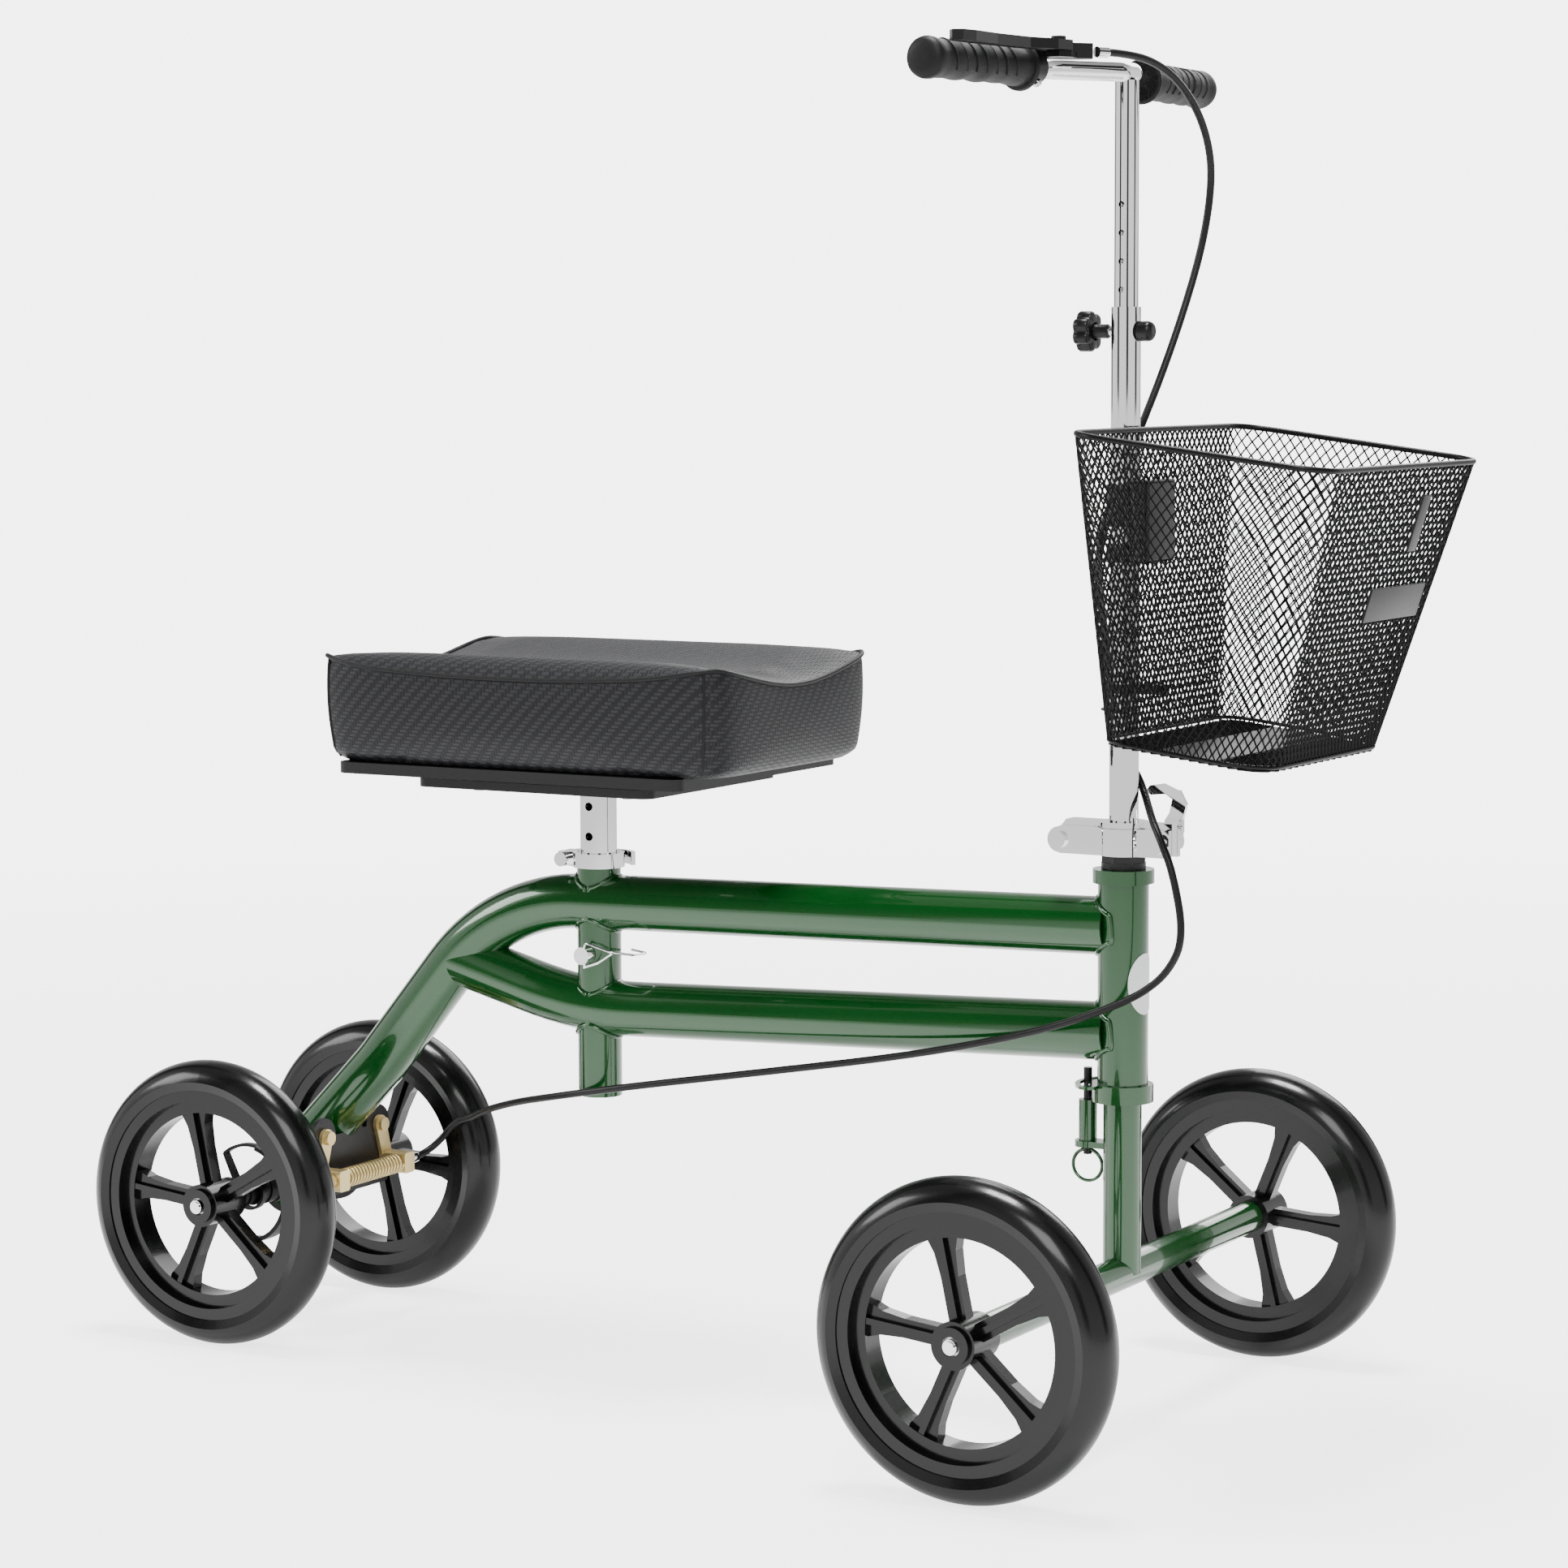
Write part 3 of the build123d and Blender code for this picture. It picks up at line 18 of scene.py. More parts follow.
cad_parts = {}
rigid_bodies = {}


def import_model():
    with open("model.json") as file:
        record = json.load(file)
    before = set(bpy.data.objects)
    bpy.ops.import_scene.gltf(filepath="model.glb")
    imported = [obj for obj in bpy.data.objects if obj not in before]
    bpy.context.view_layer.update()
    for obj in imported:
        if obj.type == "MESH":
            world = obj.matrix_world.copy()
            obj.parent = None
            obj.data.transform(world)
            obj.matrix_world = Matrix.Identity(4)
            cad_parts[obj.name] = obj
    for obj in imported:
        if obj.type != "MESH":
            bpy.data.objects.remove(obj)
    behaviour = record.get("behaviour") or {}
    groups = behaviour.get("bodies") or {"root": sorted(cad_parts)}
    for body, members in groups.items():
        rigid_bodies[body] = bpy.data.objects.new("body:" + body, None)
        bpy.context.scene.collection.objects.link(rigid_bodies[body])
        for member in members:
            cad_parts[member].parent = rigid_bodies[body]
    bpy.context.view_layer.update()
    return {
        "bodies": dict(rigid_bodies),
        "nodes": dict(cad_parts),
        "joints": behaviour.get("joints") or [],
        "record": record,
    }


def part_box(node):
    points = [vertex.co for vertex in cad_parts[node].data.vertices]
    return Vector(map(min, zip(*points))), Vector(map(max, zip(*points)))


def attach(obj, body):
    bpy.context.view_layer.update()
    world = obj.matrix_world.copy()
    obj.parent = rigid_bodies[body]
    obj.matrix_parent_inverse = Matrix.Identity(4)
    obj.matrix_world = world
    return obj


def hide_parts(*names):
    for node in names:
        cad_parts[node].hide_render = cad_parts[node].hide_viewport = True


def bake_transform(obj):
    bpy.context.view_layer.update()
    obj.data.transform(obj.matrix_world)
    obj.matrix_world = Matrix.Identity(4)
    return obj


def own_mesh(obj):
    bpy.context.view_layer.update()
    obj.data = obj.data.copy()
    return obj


log = logging.getLogger("knee_scooter")
Point = Sequence[float]
MM = 0.001


# ------------------------------------------------------------------ node trees
class Graph:
    """Short calls that add and wire the nodes of one tree."""

    def __init__(self, tree: bpy.types.NodeTree) -> None:
        """Hold a tree's nodes and links."""
        self.nodes, self.links = tree.nodes, tree.links

    def feed(self, node: bpy.types.Node, inputs: dict[int | str, object]) -> None:
        """Give a node its inputs.

        Args:
            node: The node to feed.
            inputs: A socket to link or a value to set, by the input's name or number.
        """
        for key, value in inputs.items():
            if isinstance(value, bpy.types.NodeSocket):
                self.links.new(value, node.inputs[key])
            else:
                node.inputs[key].default_value = value

    def add(
        self, kind: str, inputs: dict[int | str, object] | None = None, **options: object
    ) -> bpy.types.Node:
        """Add one node.

        Args:
            kind: Its type, without the common prefix.
            inputs: What feed() gives it.
            **options: Its own settings, made before its inputs.

        Returns:
            The node.
        """
        node = self.nodes.new("ShaderNode" + kind)
        for name, value in options.items():
            setattr(node, name, value)
        self.feed(node, inputs or {})
        return node

    def math(self, kind: str, *terms: object) -> bpy.types.NodeSocket:
        """Add one arithmetic node and return its result."""
        return self.add("Math", dict(enumerate(terms)), operation=kind).outputs[0]

    def surface(
        self, shader: bpy.types.Node, mixed: bpy.types.Node, gloss: bpy.types.Node,
        height: bpy.types.NodeSocket, relief: float, depth: float,
    ) -> None:
        """Join a tint, a roughness and a relief to a principled shader.

        Args:
            shader: The principled shader.
            mixed: The node that mixes the colour.
            gloss: The node that ranges the roughness.
            height: The socket that drives the relief.
            relief: Strength of the relief.
            depth: Depth of the relief in metres.
        """
        bump = self.add("Bump", {"Strength": relief, "Distance": depth, "Height": height})
        self.feed(shader, {
            "Base Color": mixed.outputs[2], "Roughness": gloss.outputs["Result"],
            "Normal": bump.outputs["Normal"],
        })


# ------------------------------------------------------------------ finishes
class Surface(Enum):
    """How a finish varies over its piece."""

    SMOOTH = "smooth"
    BRUSHED = "brushed"
    GRAINED = "grained"
    TWILL = "twill"


@dataclass(frozen=True)
class Finish:
    """One real finish and the node material that shows it."""

    name: str
    colour: tuple[float, float, float]
    metallic: float = 0.0
    roughness: float = 0.4
    coat: float = 0.0
    surface: Surface = Surface.SMOOTH
    grain: float = 400.0
    relief: float = 0.05
    shade: float = 0.12
    specular: float = 0.5

    def material(self) -> bpy.types.Material:
        """Return the material of this finish, made on first use.

        Returns:
            The shared node material.
        """
        found = bpy.data.materials.get(self.name)
        if found is not None:
            return found
        made = bpy.data.materials.new(self.name)
        made.use_nodes = True
        tree = made.node_tree
        shader = tree.nodes["Principled BSDF"]
        shader.inputs["Metallic"].default_value = self.metallic
        shader.inputs["Specular IOR Level"].default_value = self.specular
        shader.inputs["Coat Weight"].default_value = self.coat
        shader.inputs["Coat Roughness"].default_value = 0.04
        if self.surface is Surface.TWILL:
            self._twill(tree, shader)
        else:
            self._plain(tree, shader)
        made.diffuse_color = (*self.colour, 1.0)
        return made

    def _plain(self, tree: bpy.types.NodeTree, shader: bpy.types.Node) -> None:
        """Wire object-space mottling, roughness and fine relief.

        Args:
            tree: The material's node tree.
            shader: Its principled shader.
        """
        graph = Graph(tree)
        place = graph.add("TexCoord").outputs["Object"]
        along = 0.08 if self.surface is Surface.BRUSHED else 1.0
        stretch = graph.add("Mapping", {"Scale": (1.0, 1.0, along), "Vector": place})
        broad = graph.add("TexNoise", {"Scale": 18.0, "Detail": 5.0, "Vector": place})
        fine = graph.add(
            "TexNoise", {"Scale": self.grain, "Detail": 3.0, "Vector": stretch.outputs["Vector"]}
        ).outputs["Fac"]
        dark = tuple(channel * (1.0 - self.shade) for channel in self.colour)
        light = tuple(min(1.0, channel * (1.0 + self.shade)) for channel in self.colour)
        tint = graph.add(
            "Mix", {0: broad.outputs["Fac"], 6: (*dark, 1.0), 7: (*light, 1.0)}, data_type="RGBA"
        )
        gloss = graph.add("MapRange", {
            "To Min": max(0.02, self.roughness * 0.75), "To Max": min(1.0, self.roughness * 1.3),
            "Value": fine,
        })
        graph.surface(shader, tint, gloss, fine, self.relief, 0.0004)

    def _twill(self, tree: bpy.types.NodeTree, shader: bpy.types.Node) -> None:
        """Wire a two-up, two-down twill of flat tows from the piece's own UV map, coloured with
        painted shade and painted highlight that follow the tows' relief.

        Args:
            tree: The material's node tree.
            shader: Its principled shader.
        """
        graph = Graph(tree)
        split = graph.add(
            "SeparateXYZ", {"Vector": graph.add("UVMap", uv_map="weave").outputs["UV"]}
        )
        across, along = (graph.math("MULTIPLY", split.outputs[axis], self.grain) for axis in "XY")
        index = graph.math("SUBTRACT", graph.math("FLOOR", across), graph.math("FLOOR", along))
        over = graph.math("LESS_THAN", graph.math("FLOORED_MODULO", index, 4.0), 1.5)
        warp, weft = (
            graph.math("SINE", graph.math("MULTIPLY", graph.math("FRACT", run), math.pi))
            for run in (across, along)
        )
        height = graph.add("Mix", {0: over, 2: warp, 3: weft}).outputs[0]
        # The two-up, two-down layout is the vinyl's own pattern; the colour laid on it is painted
        # shade and painted highlight, dark at each tow's edges and on the tows that pass under,
        # light on the crowns of the tows that pass over.
        painted_tow_shading = graph.math("MULTIPLY", graph.math("MULTIPLY_ADD", over, 0.75, 0.25), height)
        dark = tuple(channel * 0.42 for channel in self.colour)
        light = tuple(channel * 1.7 for channel in self.colour)
        tint = graph.add("Mix", {0: painted_tow_shading, 6: (*dark, 1.0), 7: (*light, 1.0)}, data_type="RGBA")
        gloss = graph.add("MapRange", {
            "To Min": self.roughness + 0.14, "To Max": self.roughness - 0.08, "Value": height,
        })
        graph.surface(shader, tint, gloss, height, self.relief, 0.0006)

    def dress(self, piece: bpy.types.Object) -> None:
        """Put this finish on all of a piece.

        Args:
            piece: The mesh object to dress.
        """
        piece.data.materials.clear()
        piece.data.materials.append(self.material())


GREEN = Finish("green_lacquer", (0.001, 0.060, 0.006), 0.3, 0.2, 1.0, grain=900, relief=0.01,
               shade=0.05)
CHROME = Finish("bright_chrome", (0.93, 0.93, 0.94), 1.0, 0.035, grain=1400, relief=0.0, shade=0.02)
SATIN = Finish("satin_steel", (0.55, 0.56, 0.57), 1.0, 0.24, surface=Surface.BRUSHED, grain=900)
ZINC = Finish("yellow_zinc", (0.60, 0.29, 0.02), 1.0, 0.28, grain=500, relief=0.05, shade=0.2)
TYRE = Finish("tyre_rubber", (0.0022, 0.0022, 0.0024), 0.0, 0.22, 0.12, grain=700, relief=0.02,
              specular=0.32)
RIM = Finish("rim_moulding", (0.0018, 0.0018, 0.002), 0.0, 0.2, 0.2, grain=600, relief=0.03,
             specular=0.3)
ENAMEL = Finish("black_enamel", (0.006, 0.006, 0.0065), 0.0, 0.4, 0.0, grain=900, relief=0.06,
                specular=0.35)
MOULDED = Finish("black_moulding", (0.0035, 0.0035, 0.004), 0.0, 0.3, grain=1600, relief=0.08,
                 specular=0.3)
RUBBER = Finish("grip_rubber", (0.004, 0.004, 0.0045), 0.0, 0.5, grain=1800, relief=0.25,
                specular=0.25)
WIRE = Finish("dipped_wire", (0.0015, 0.0015, 0.0015), 0.0, 0.35, 0.0, grain=1200, relief=0.05,
              specular=0.2)
HOUSING = Finish("cable_housing", (0.003, 0.003, 0.003), 0.0, 0.35, 0.0, grain=2000,
                 relief=0.03, specular=0.3)
LABEL = Finish("blank_label", (0.82, 0.83, 0.84), 0.0, 0.35, 0.3, grain=900, relief=0.02,
               shade=0.03)
VINYL = Finish("twill_vinyl", (0.0165, 0.0165, 0.0185), 0.0, 0.44, surface=Surface.TWILL,
               grain=400.0, relief=0.25, specular=0.22)
PIPING = Finish("piping_vinyl", (0.006, 0.006, 0.0065), 0.0, 0.45, grain=1500, relief=0.3,
                specular=0.25)
PLAQUE = Finish("dark_plaque", (0.018, 0.018, 0.019), 0.0, 0.3, grain=900, relief=0.02,
                specular=0.4)


# ------------------------------------------------------------------ modelling by hand
class Bench:
    """The few modelling moves that all sub-assemblies share."""

    @staticmethod
    def clear() -> None:
        """Leave edit mode and deselect everything."""
        if bpy.context.mode != "OBJECT":
            bpy.ops.object.mode_set(mode="OBJECT")
        bpy.ops.object.select_all(action="DESELECT")

    @staticmethod
    def take(piece: bpy.types.Object) -> None:
        """Make one piece the only selected and active one."""
        Bench.clear()
        piece.select_set(True)
        bpy.context.view_layer.objects.active = piece

    @staticmethod
    def tidy(piece: bpy.types.Object, angle: float = 35.0) -> bpy.types.Object:
        """Merge doubles, turn faces outwards and shade by angle.

        Args:
            piece: The mesh to finish.
            angle: Crease angle in degrees.

        Returns:
            The same piece.
        """
        Bench.take(piece)
        bpy.ops.object.mode_set(mode="EDIT")
        bpy.ops.mesh.select_all(action="SELECT")
        bpy.ops.mesh.remove_doubles(threshold=1e-6)
        bpy.ops.mesh.normals_make_consistent(inside=False)
        bpy.ops.object.mode_set(mode="OBJECT")
        bpy.ops.object.shade_smooth_by_angle(angle=math.radians(angle))
        return piece

    @staticmethod
    def lay(piece: bpy.types.Object, at: Point, along: Point) -> bpy.types.Object:
        """Move a piece modelled about +Z at the origin to a place and direction.

        Args:
            piece: The mesh to move.
            at: Where its origin goes.
            along: Where its +Z axis points.

        Returns:
            The same piece, with its place in its mesh.
        """
        turn = Vector(along).to_track_quat("Z", "Y").to_matrix().to_4x4()
        piece.data.transform(Matrix.Translation(Vector(at)) @ turn)
        return piece

    @staticmethod
    def drawn(
        name: str, stations: Sequence[tuple[float, float]], sides: int = 40, angle: float = 35.0
    ) -> bpy.types.Object:
        """Draw a round body out along +Z, from a filled circle, ring by ring.

        Args:
            name: The piece's name.
            stations: Height and radius of each ring, from the first cap to the last.
            sides: Corners of each ring.
            angle: Crease angle in degrees.

        Returns:
            The closed body about the Z axis.
        """
        Bench.clear()
        start, radius = stations[0]
        bpy.ops.mesh.primitive_circle_add(
            vertices=sides, radius=radius, fill_type="NGON", location=(0, 0, start)
        )
        piece = bpy.context.object
        piece.name = name
        piece.data.transform(Matrix.Translation(piece.location))
        piece.location = (0, 0, 0)
        bpy.ops.object.mode_set(mode="EDIT")
        bpy.ops.mesh.select_all(action="SELECT")
        for height, wide in stations[1:]:
            bpy.ops.mesh.extrude_region_move(
                TRANSFORM_OT_translate={"value": (0, 0, height - start)}
            )
            scale = wide / radius
            bpy.ops.transform.resize(value=(scale, scale, 1), center_override=(0, 0, height))
            start, radius = height, wide
        bpy.ops.object.mode_set(mode="OBJECT")
        return Bench.tidy(piece, angle)

    @staticmethod
    def block(
        name: str, low: Point, high: Point, edge: float, segments: int = 3
    ) -> bpy.types.Object:
        """Make a box between two corners, with rounded edges.

        Args:
            name: The piece's name.
            low: Lowest corner.
            high: Highest corner.
            edge: Radius of the edges.
            segments: Steps in each edge.

        Returns:
            The rounded box.
        """
        Bench.clear()
        middle = [(a + b) / 2 for a, b in zip(low, high)]
        bpy.ops.mesh.primitive_cube_add(size=1.0, location=middle)
        piece = bpy.context.object
        piece.name = name
        piece.scale = [b - a for a, b in zip(low, high)]
        bpy.ops.object.transform_apply(location=True, rotation=True, scale=True)
        bpy.ops.object.mode_set(mode="EDIT")
        bpy.ops.mesh.select_all(action="SELECT")
        bpy.ops.mesh.bevel(offset=edge, segments=segments, affect="EDGES")
        bpy.ops.object.mode_set(mode="OBJECT")
        return Bench.tidy(piece, 40.0)

    @staticmethod
    def wire(
        name: str, points: Iterable[Point], radius: float, closed: bool = False,
        nurbs: bool = False, sides: int = 3, steps: int = 6,
    ) -> bpy.types.Object:
        """Bend a round wire through points and make it a mesh.

        Args:
            name: The piece's name.
            points: The points it follows.
            radius: Half its thickness.
            closed: Whether it is a loop.
            nurbs: Whether it is smooth between points.
            sides: Bevel resolution.
            steps: Steps between points of a smooth wire.

        Returns:
            The wire as a mesh object.
        """
        curve = bpy.data.curves.new(name, "CURVE")
        curve.dimensions = "3D"
        curve.bevel_depth = radius
        curve.bevel_resolution = sides
        curve.use_fill_caps = True
        line = curve.splines.new("NURBS" if nurbs else "POLY")
        places = [tuple(p) for p in points]
        line.points.add(len(places) - 1)
        for knot, place in zip(line.points, places):
            knot.co = (*place, 1.0)
        line.use_cyclic_u = closed
        if nurbs:
            line.order_u = 3
            line.use_endpoint_u = not closed
            line.resolution_u = steps
        piece = bpy.data.objects.new(name, curve)
        bpy.context.scene.collection.objects.link(piece)
        Bench.take(piece)
        bpy.ops.object.convert(target="MESH")
        piece = bpy.context.object
        return Bench.tidy(piece, 60.0)

    @staticmethod
    def join(name: str, pieces: Sequence[bpy.types.Object]) -> bpy.types.Object:
        """Join several meshes into one piece.

        Args:
            name: The joined piece's name.
            pieces: The meshes to join.

        Returns:
            The joined piece.
        """
        Bench.take(pieces[0])
        for piece in pieces:
            piece.select_set(True)
        bpy.ops.object.join()
        joined = bpy.context.object
        joined.name = name
        return joined

    @staticmethod
    def mount(
        piece: bpy.types.Object, body: str, finish: Finish, slot: str
    ) -> bpy.types.Object:
        """Dress a finished piece, hang it on its body and report it.

        Args:
            piece: The finished mesh.
            body: The body it moves with.
            finish: Its finish.
            slot: The record's material slot; not used.

        Returns:
            The same piece.
        """
        finish.dress(piece)
        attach(piece, body)
        log.info("%s on %s, %d faces", piece.name, body, len(piece.data.polygons))
        return piece

    @staticmethod
    def screw(name: str, at: Point, along: Point, radius: float, high: float) -> bpy.types.Object:
        """Make a low round screw head with a socket, standing on a face.

        Args:
            name: The piece's name.
            at: Where it stands.
            along: The way it faces.
            radius: Radius of its head.
            high: Height of its head.

        Returns:
            The screw head.
        """
        ring = [
            (0.0, radius), (high * 0.55, radius), (high * 0.85, radius * 0.88),
            (high, radius * 0.66), (high, radius * 0.48), (high * 0.35, radius * 0.44),
        ]
        return Bench.lay(Bench.drawn(name, ring, sides=24, angle=30.0), at, along)


# ------------------------------------------------------------------ the solids' finishes
@dataclass
class Hardware:
    """Puts a finish on every solid that shows as it is."""

    wheels: tuple[str, ...] = ("front_right", "front_left", "rear_right", "rear_left")
    green: tuple[str, ...] = (
        "upper_tube", "lower_tube", "head_tube", "seat_tube", "rear_cross_tube", "stem_tube",
        "front_axle_tube", "plunger_housing",
    )
    chrome: tuple[str, ...] = (
        "front_axle_bolts", "rear_axle_nuts", "fold_pin", "clamp_bolt", "clamp_base",
        "clamp_cap", "column_tube", "handlebar", "seat_post", "seat_collar",
        "seat_collar_bolt", "seat_lever", "clamp_lever", "seat_pin", "pin_bail",
        "cable_adjuster",
    )
    satin: tuple[str, ...] = ("rear_axle",)
    zinc: tuple[str, ...] = (
        "brake_arm_right", "brake_arm_left", "brake_adjuster", "brake_pivot_bolts",
    )
    enamel: tuple[str, ...] = (
        "brake_bracket", "basket_brackets", "seat_plates", "brake_band", "headset_nut",
    )
    moulded: tuple[str, ...] = (
        "brake_perch", "brake_lever", "front_stud", "height_knob", "plunger_pin",
    )
    rubber: tuple[str, ...] = ("axle_sleeves",)

    def dress(self, nodes: dict[str, bpy.types.Object]) -> None:
        """Dress the solids.

        Args:
            nodes: The frame's nodes by name.
        """
        groups = (
            (self.green, GREEN), (self.chrome, CHROME), (self.satin, SATIN), (self.zinc, ZINC),
            (self.enamel, ENAMEL), (self.moulded, MOULDED), (self.rubber, RUBBER),
            ([f"{wheel}_tyre" for wheel in self.wheels], TYRE),
            ([f"{wheel}_wheel" for wheel in self.wheels], RIM),
            ([f"{wheel}_bearings" for wheel in self.wheels], SATIN),
        )
        for names, finish in groups:
            for name in names:
                finish.dress(nodes[name])
            log.info("%s on %d solids", finish.name, len(names))


# ------------------------------------------------------------------ frame trim
@dataclass
class FrameTrim:
    """Weld beads and the blank head badge of the frame."""

    head_r: float = 0.0165
    tube_r: float = 0.01905
    bead_r: float = 0.0017
    badge_z: float = 0.293
    badge_size: tuple[float, float] = (0.027, 0.040)
    seat_x: float = -0.402
    seat_r: float = 0.0152

    def build(self) -> None:
        """Build and mount the trim."""
        for name, height, slope in (("upper", 0.329, 0.0220), ("lower", 0.260, 0.0357)):
            self.bead(f"bead_head_{name}", 0.0, self.head_r, height, slope, -1)
        for name, height, slope in (("upper", 0.3203, 0.022), ("lower", 0.2463, 0.034)):
            for side, label in ((1, "front"), (-1, "back")):
                self.bead(
                    f"bead_seat_{name}_{label}", self.seat_x, self.seat_r, height, slope, side
                )
        self.badge()

    def bead(
        self, name: str, centre: float, post_r: float, height: float, slope: float, side: int
    ) -> None:
        """Lay a weld bead where a main tube meets an upright one.

        Args:
            name: The piece's name.
            centre: The upright's place along X.
            post_r: The upright's radius.
            height: Height of the main tube's centre line at the upright's axis.
            slope: Fall of the main tube per length towards the front, negated.
            side: 1 on the upright's front, -1 on its back.
        """
        track = []
        post = post_r + 0.0004
        for step in range(72):
            turn = 2 * math.pi * step / 72
            wide = min(self.tube_r, post) * math.sin(turn)
            high = self.tube_r * math.cos(turn)
            if self.tube_r > post:
                high = math.copysign(
                    math.sqrt(max(0.0, self.tube_r**2 - wide**2)), math.cos(turn)
                )
            out = centre + side * math.sqrt(max(0.0, post**2 - wide**2))
            track.append((out, wide, height + high - slope * 0.5 * (out - centre)))
        bead = Bench.wire(name, track, self.bead_r, closed=True, nurbs=True, steps=3)
        Bench.mount(bead, "frame", GREEN, "frame_paint")

    def badge(self) -> None:
        """Make the plain oval label that wraps round the front of the head tube."""
        Bench.clear()
        bpy.ops.mesh.primitive_circle_add(vertices=64, radius=0.5, fill_type="TRIFAN")
        badge = bpy.context.object
        badge.name = "head_badge"
        bpy.ops.object.mode_set(mode="EDIT")
        bpy.ops.mesh.select_all(action="SELECT")
        bpy.ops.mesh.subdivide(number_cuts=4)
        bpy.ops.object.mode_set(mode="OBJECT")
        wide, high = self.badge_size
        radius = self.head_r + 0.00025
        for vertex in badge.data.vertices:
            turn = vertex.co.x * wide / radius - math.radians(8)
            vertex.co = (
                radius * math.cos(turn), radius * math.sin(turn),
                self.badge_z + vertex.co.y * high,
            )
        Bench.take(badge)
        thick = badge.modifiers.new("film", "SOLIDIFY")
        thick.thickness = 0.0003
        thick.offset = 1.0
        bpy.ops.object.modifier_apply(modifier=thick.name)
        Bench.tidy(badge, 50.0)
        Bench.mount(badge, "frame", LABEL, "frame_paint")


# ------------------------------------------------------------------ knee pad
@dataclass
class KneePad:
    """Foam pad under stitched vinyl, dished for the knee, with piping on its top edge."""

    rear: float = -0.5655
    front: float = -0.2415
    half_w: float = 0.1125
    low: float = 0.4208
    top: float = 0.4960
    flare: float = 0.0035
    dish_across: float = 0.014
    dish_along: float = 0.009
    soft_edge: float = 0.007
    roll_w: float = 0.14
    give: float = 0.0022
    piping_r: float = 0.0016
    cells: tuple[int, int, int] = (66, 48, 18)

    def crest(self, x: float, y: float) -> float:
        """Height of the dished top at a place."""
        along = max(-1.0, min(1.0, (2 * x - self.front - self.rear) / (self.front - self.rear)))
        across = max(-1.0, min(1.0, y / self.half_w))
        trough = math.cos(0.5 * math.pi * min(1.0, abs(across) / 0.92)) ** 1.4
        roll = max(0.0, (abs(across) - 1 + self.roll_w) / self.roll_w) ** 2
        lip = max(0.0, (abs(along) - 0.96) / 0.04) ** 2
        return self.top - self.dish_across * trough - roll * (
            0.0015 + self.dish_along * (1 - along**2) ** 0.8
        ) - 0.0015 * lip

    def form(self, x: float, y: float, level: float) -> Vector:
        """Place a unit-box vertex on the pad's surface.

        Args:
            x: Place along the length, from -1 to 1.
            y: Place across the width, from -1 to 1.
            level: Place in height, from 0 to 1.

        Returns:
            Its place on the pad.
        """
        half_l = (self.front - self.rear) / 2
        power = 9.0
        edge = max(abs(x), abs(y))
        spread = (abs(x) ** power + abs(y) ** power) ** (1 / power)
        pull = edge / spread if spread > 1e-9 else 1.0
        x, y = x * pull, y * pull
        swell = self.flare * (level - 1.0) + 0.0022 * math.sin(math.pi * level) * edge**8
        dip = self.soft_edge * max(0.0, 1 - level / 0.10) ** 2 * edge**10
        px = (self.front + self.rear) / 2 + x * (half_l + swell - dip)
        py = y * (self.half_w + swell - dip)
        crest = self.crest(px, py)
        tuck = 0.0035 * edge**14 * level**12
        return Vector((px, py, self.low + (crest - self.low) * level - tuck))

    def build(self) -> None:
        """Build the cover and its piping and mount them."""
        Bench.clear()
        bpy.ops.mesh.primitive_cube_add(size=2.0)
        cover = bpy.context.object
        cover.name = "pad_cover"
        mesh = bmesh.new()
        sewn = self.fill(mesh)
        mesh.to_mesh(cover.data)
        mesh.free()
        Bench.tidy(cover, 50.0)
        self.plump(cover, sewn)
        Bench.take(cover)
        bpy.ops.object.mode_set(mode="EDIT")
        bpy.ops.mesh.select_all(action="SELECT")
        bpy.ops.uv.cube_project(cube_size=1.0, correct_aspect=False, scale_to_bounds=False)
        bpy.ops.object.mode_set(mode="OBJECT")
        cover.data.uv_layers[0].name = "weave"
        Bench.mount(cover, "seat", VINYL, "pad_vinyl")
        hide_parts("seat_pad")
        self.piping()

    def plump(self, cover: bpy.types.Object, sewn: list[int]) -> None:
        """Blow the cover out a little as cloth, held along its seams and underneath.

        Args:
            cover: The pad's cover.
            sewn: Its vertices that stay where they are.
        """
        group = cover.vertex_groups.new(name="sewn")
        group.add(sewn, 1.0, "REPLACE")
        rest = [vertex.co.copy() for vertex in cover.data.vertices]
        cloth = cover.modifiers.new("cover_cloth", "CLOTH")
        cloth.settings.quality = 6
        cloth.settings.use_pressure = True
        cloth.settings.uniform_pressure_force = 4.0
        cloth.settings.vertex_group_mass = group.name
        cloth.settings.effector_weights.gravity = 0.0
        scene = bpy.context.scene
        for frame in range(1, 21):
            scene.frame_set(frame)
        shown = cover.evaluated_get(bpy.context.evaluated_depsgraph_get())
        moved = [vertex.co.copy() for vertex in shown.data.vertices]
        cover.modifiers.remove(cloth)
        scene.frame_set(1)
        for vertex, start, end in zip(cover.data.vertices, rest, moved):
            shift = end - start
            if shift.length > self.give:
                shift *= self.give / shift.length
            vertex.co = start + shift
        cover.vertex_groups.remove(group)

    def fill(self, mesh: bmesh.types.BMesh) -> list[int]:
        """Build the closed grid of the pad's six sides.

        Args:
            mesh: The mesh to fill.

        Returns:
            The vertices along the seams and on the underside.
        """
        long, wide, high = self.cells
        corners: dict[tuple[int, int, int], bmesh.types.BMVert] = {}

        def corner(i: int, j: int, k: int) -> bmesh.types.BMVert:
            """Return the vertex at a grid place, made on first use."""
            if (i, j, k) not in corners:
                level = 0.5 - 0.5 * math.cos(math.pi * k / high)
                corners[i, j, k] = mesh.verts.new(
                    self.form(self.ease(2 * i / long - 1), self.ease(2 * j / wide - 1), level)
                )
            return corners[i, j, k]

        def patch(*places: tuple[int, int, int]) -> None:
            """Add one face through four grid places."""
            mesh.faces.new([corner(*place) for place in places])

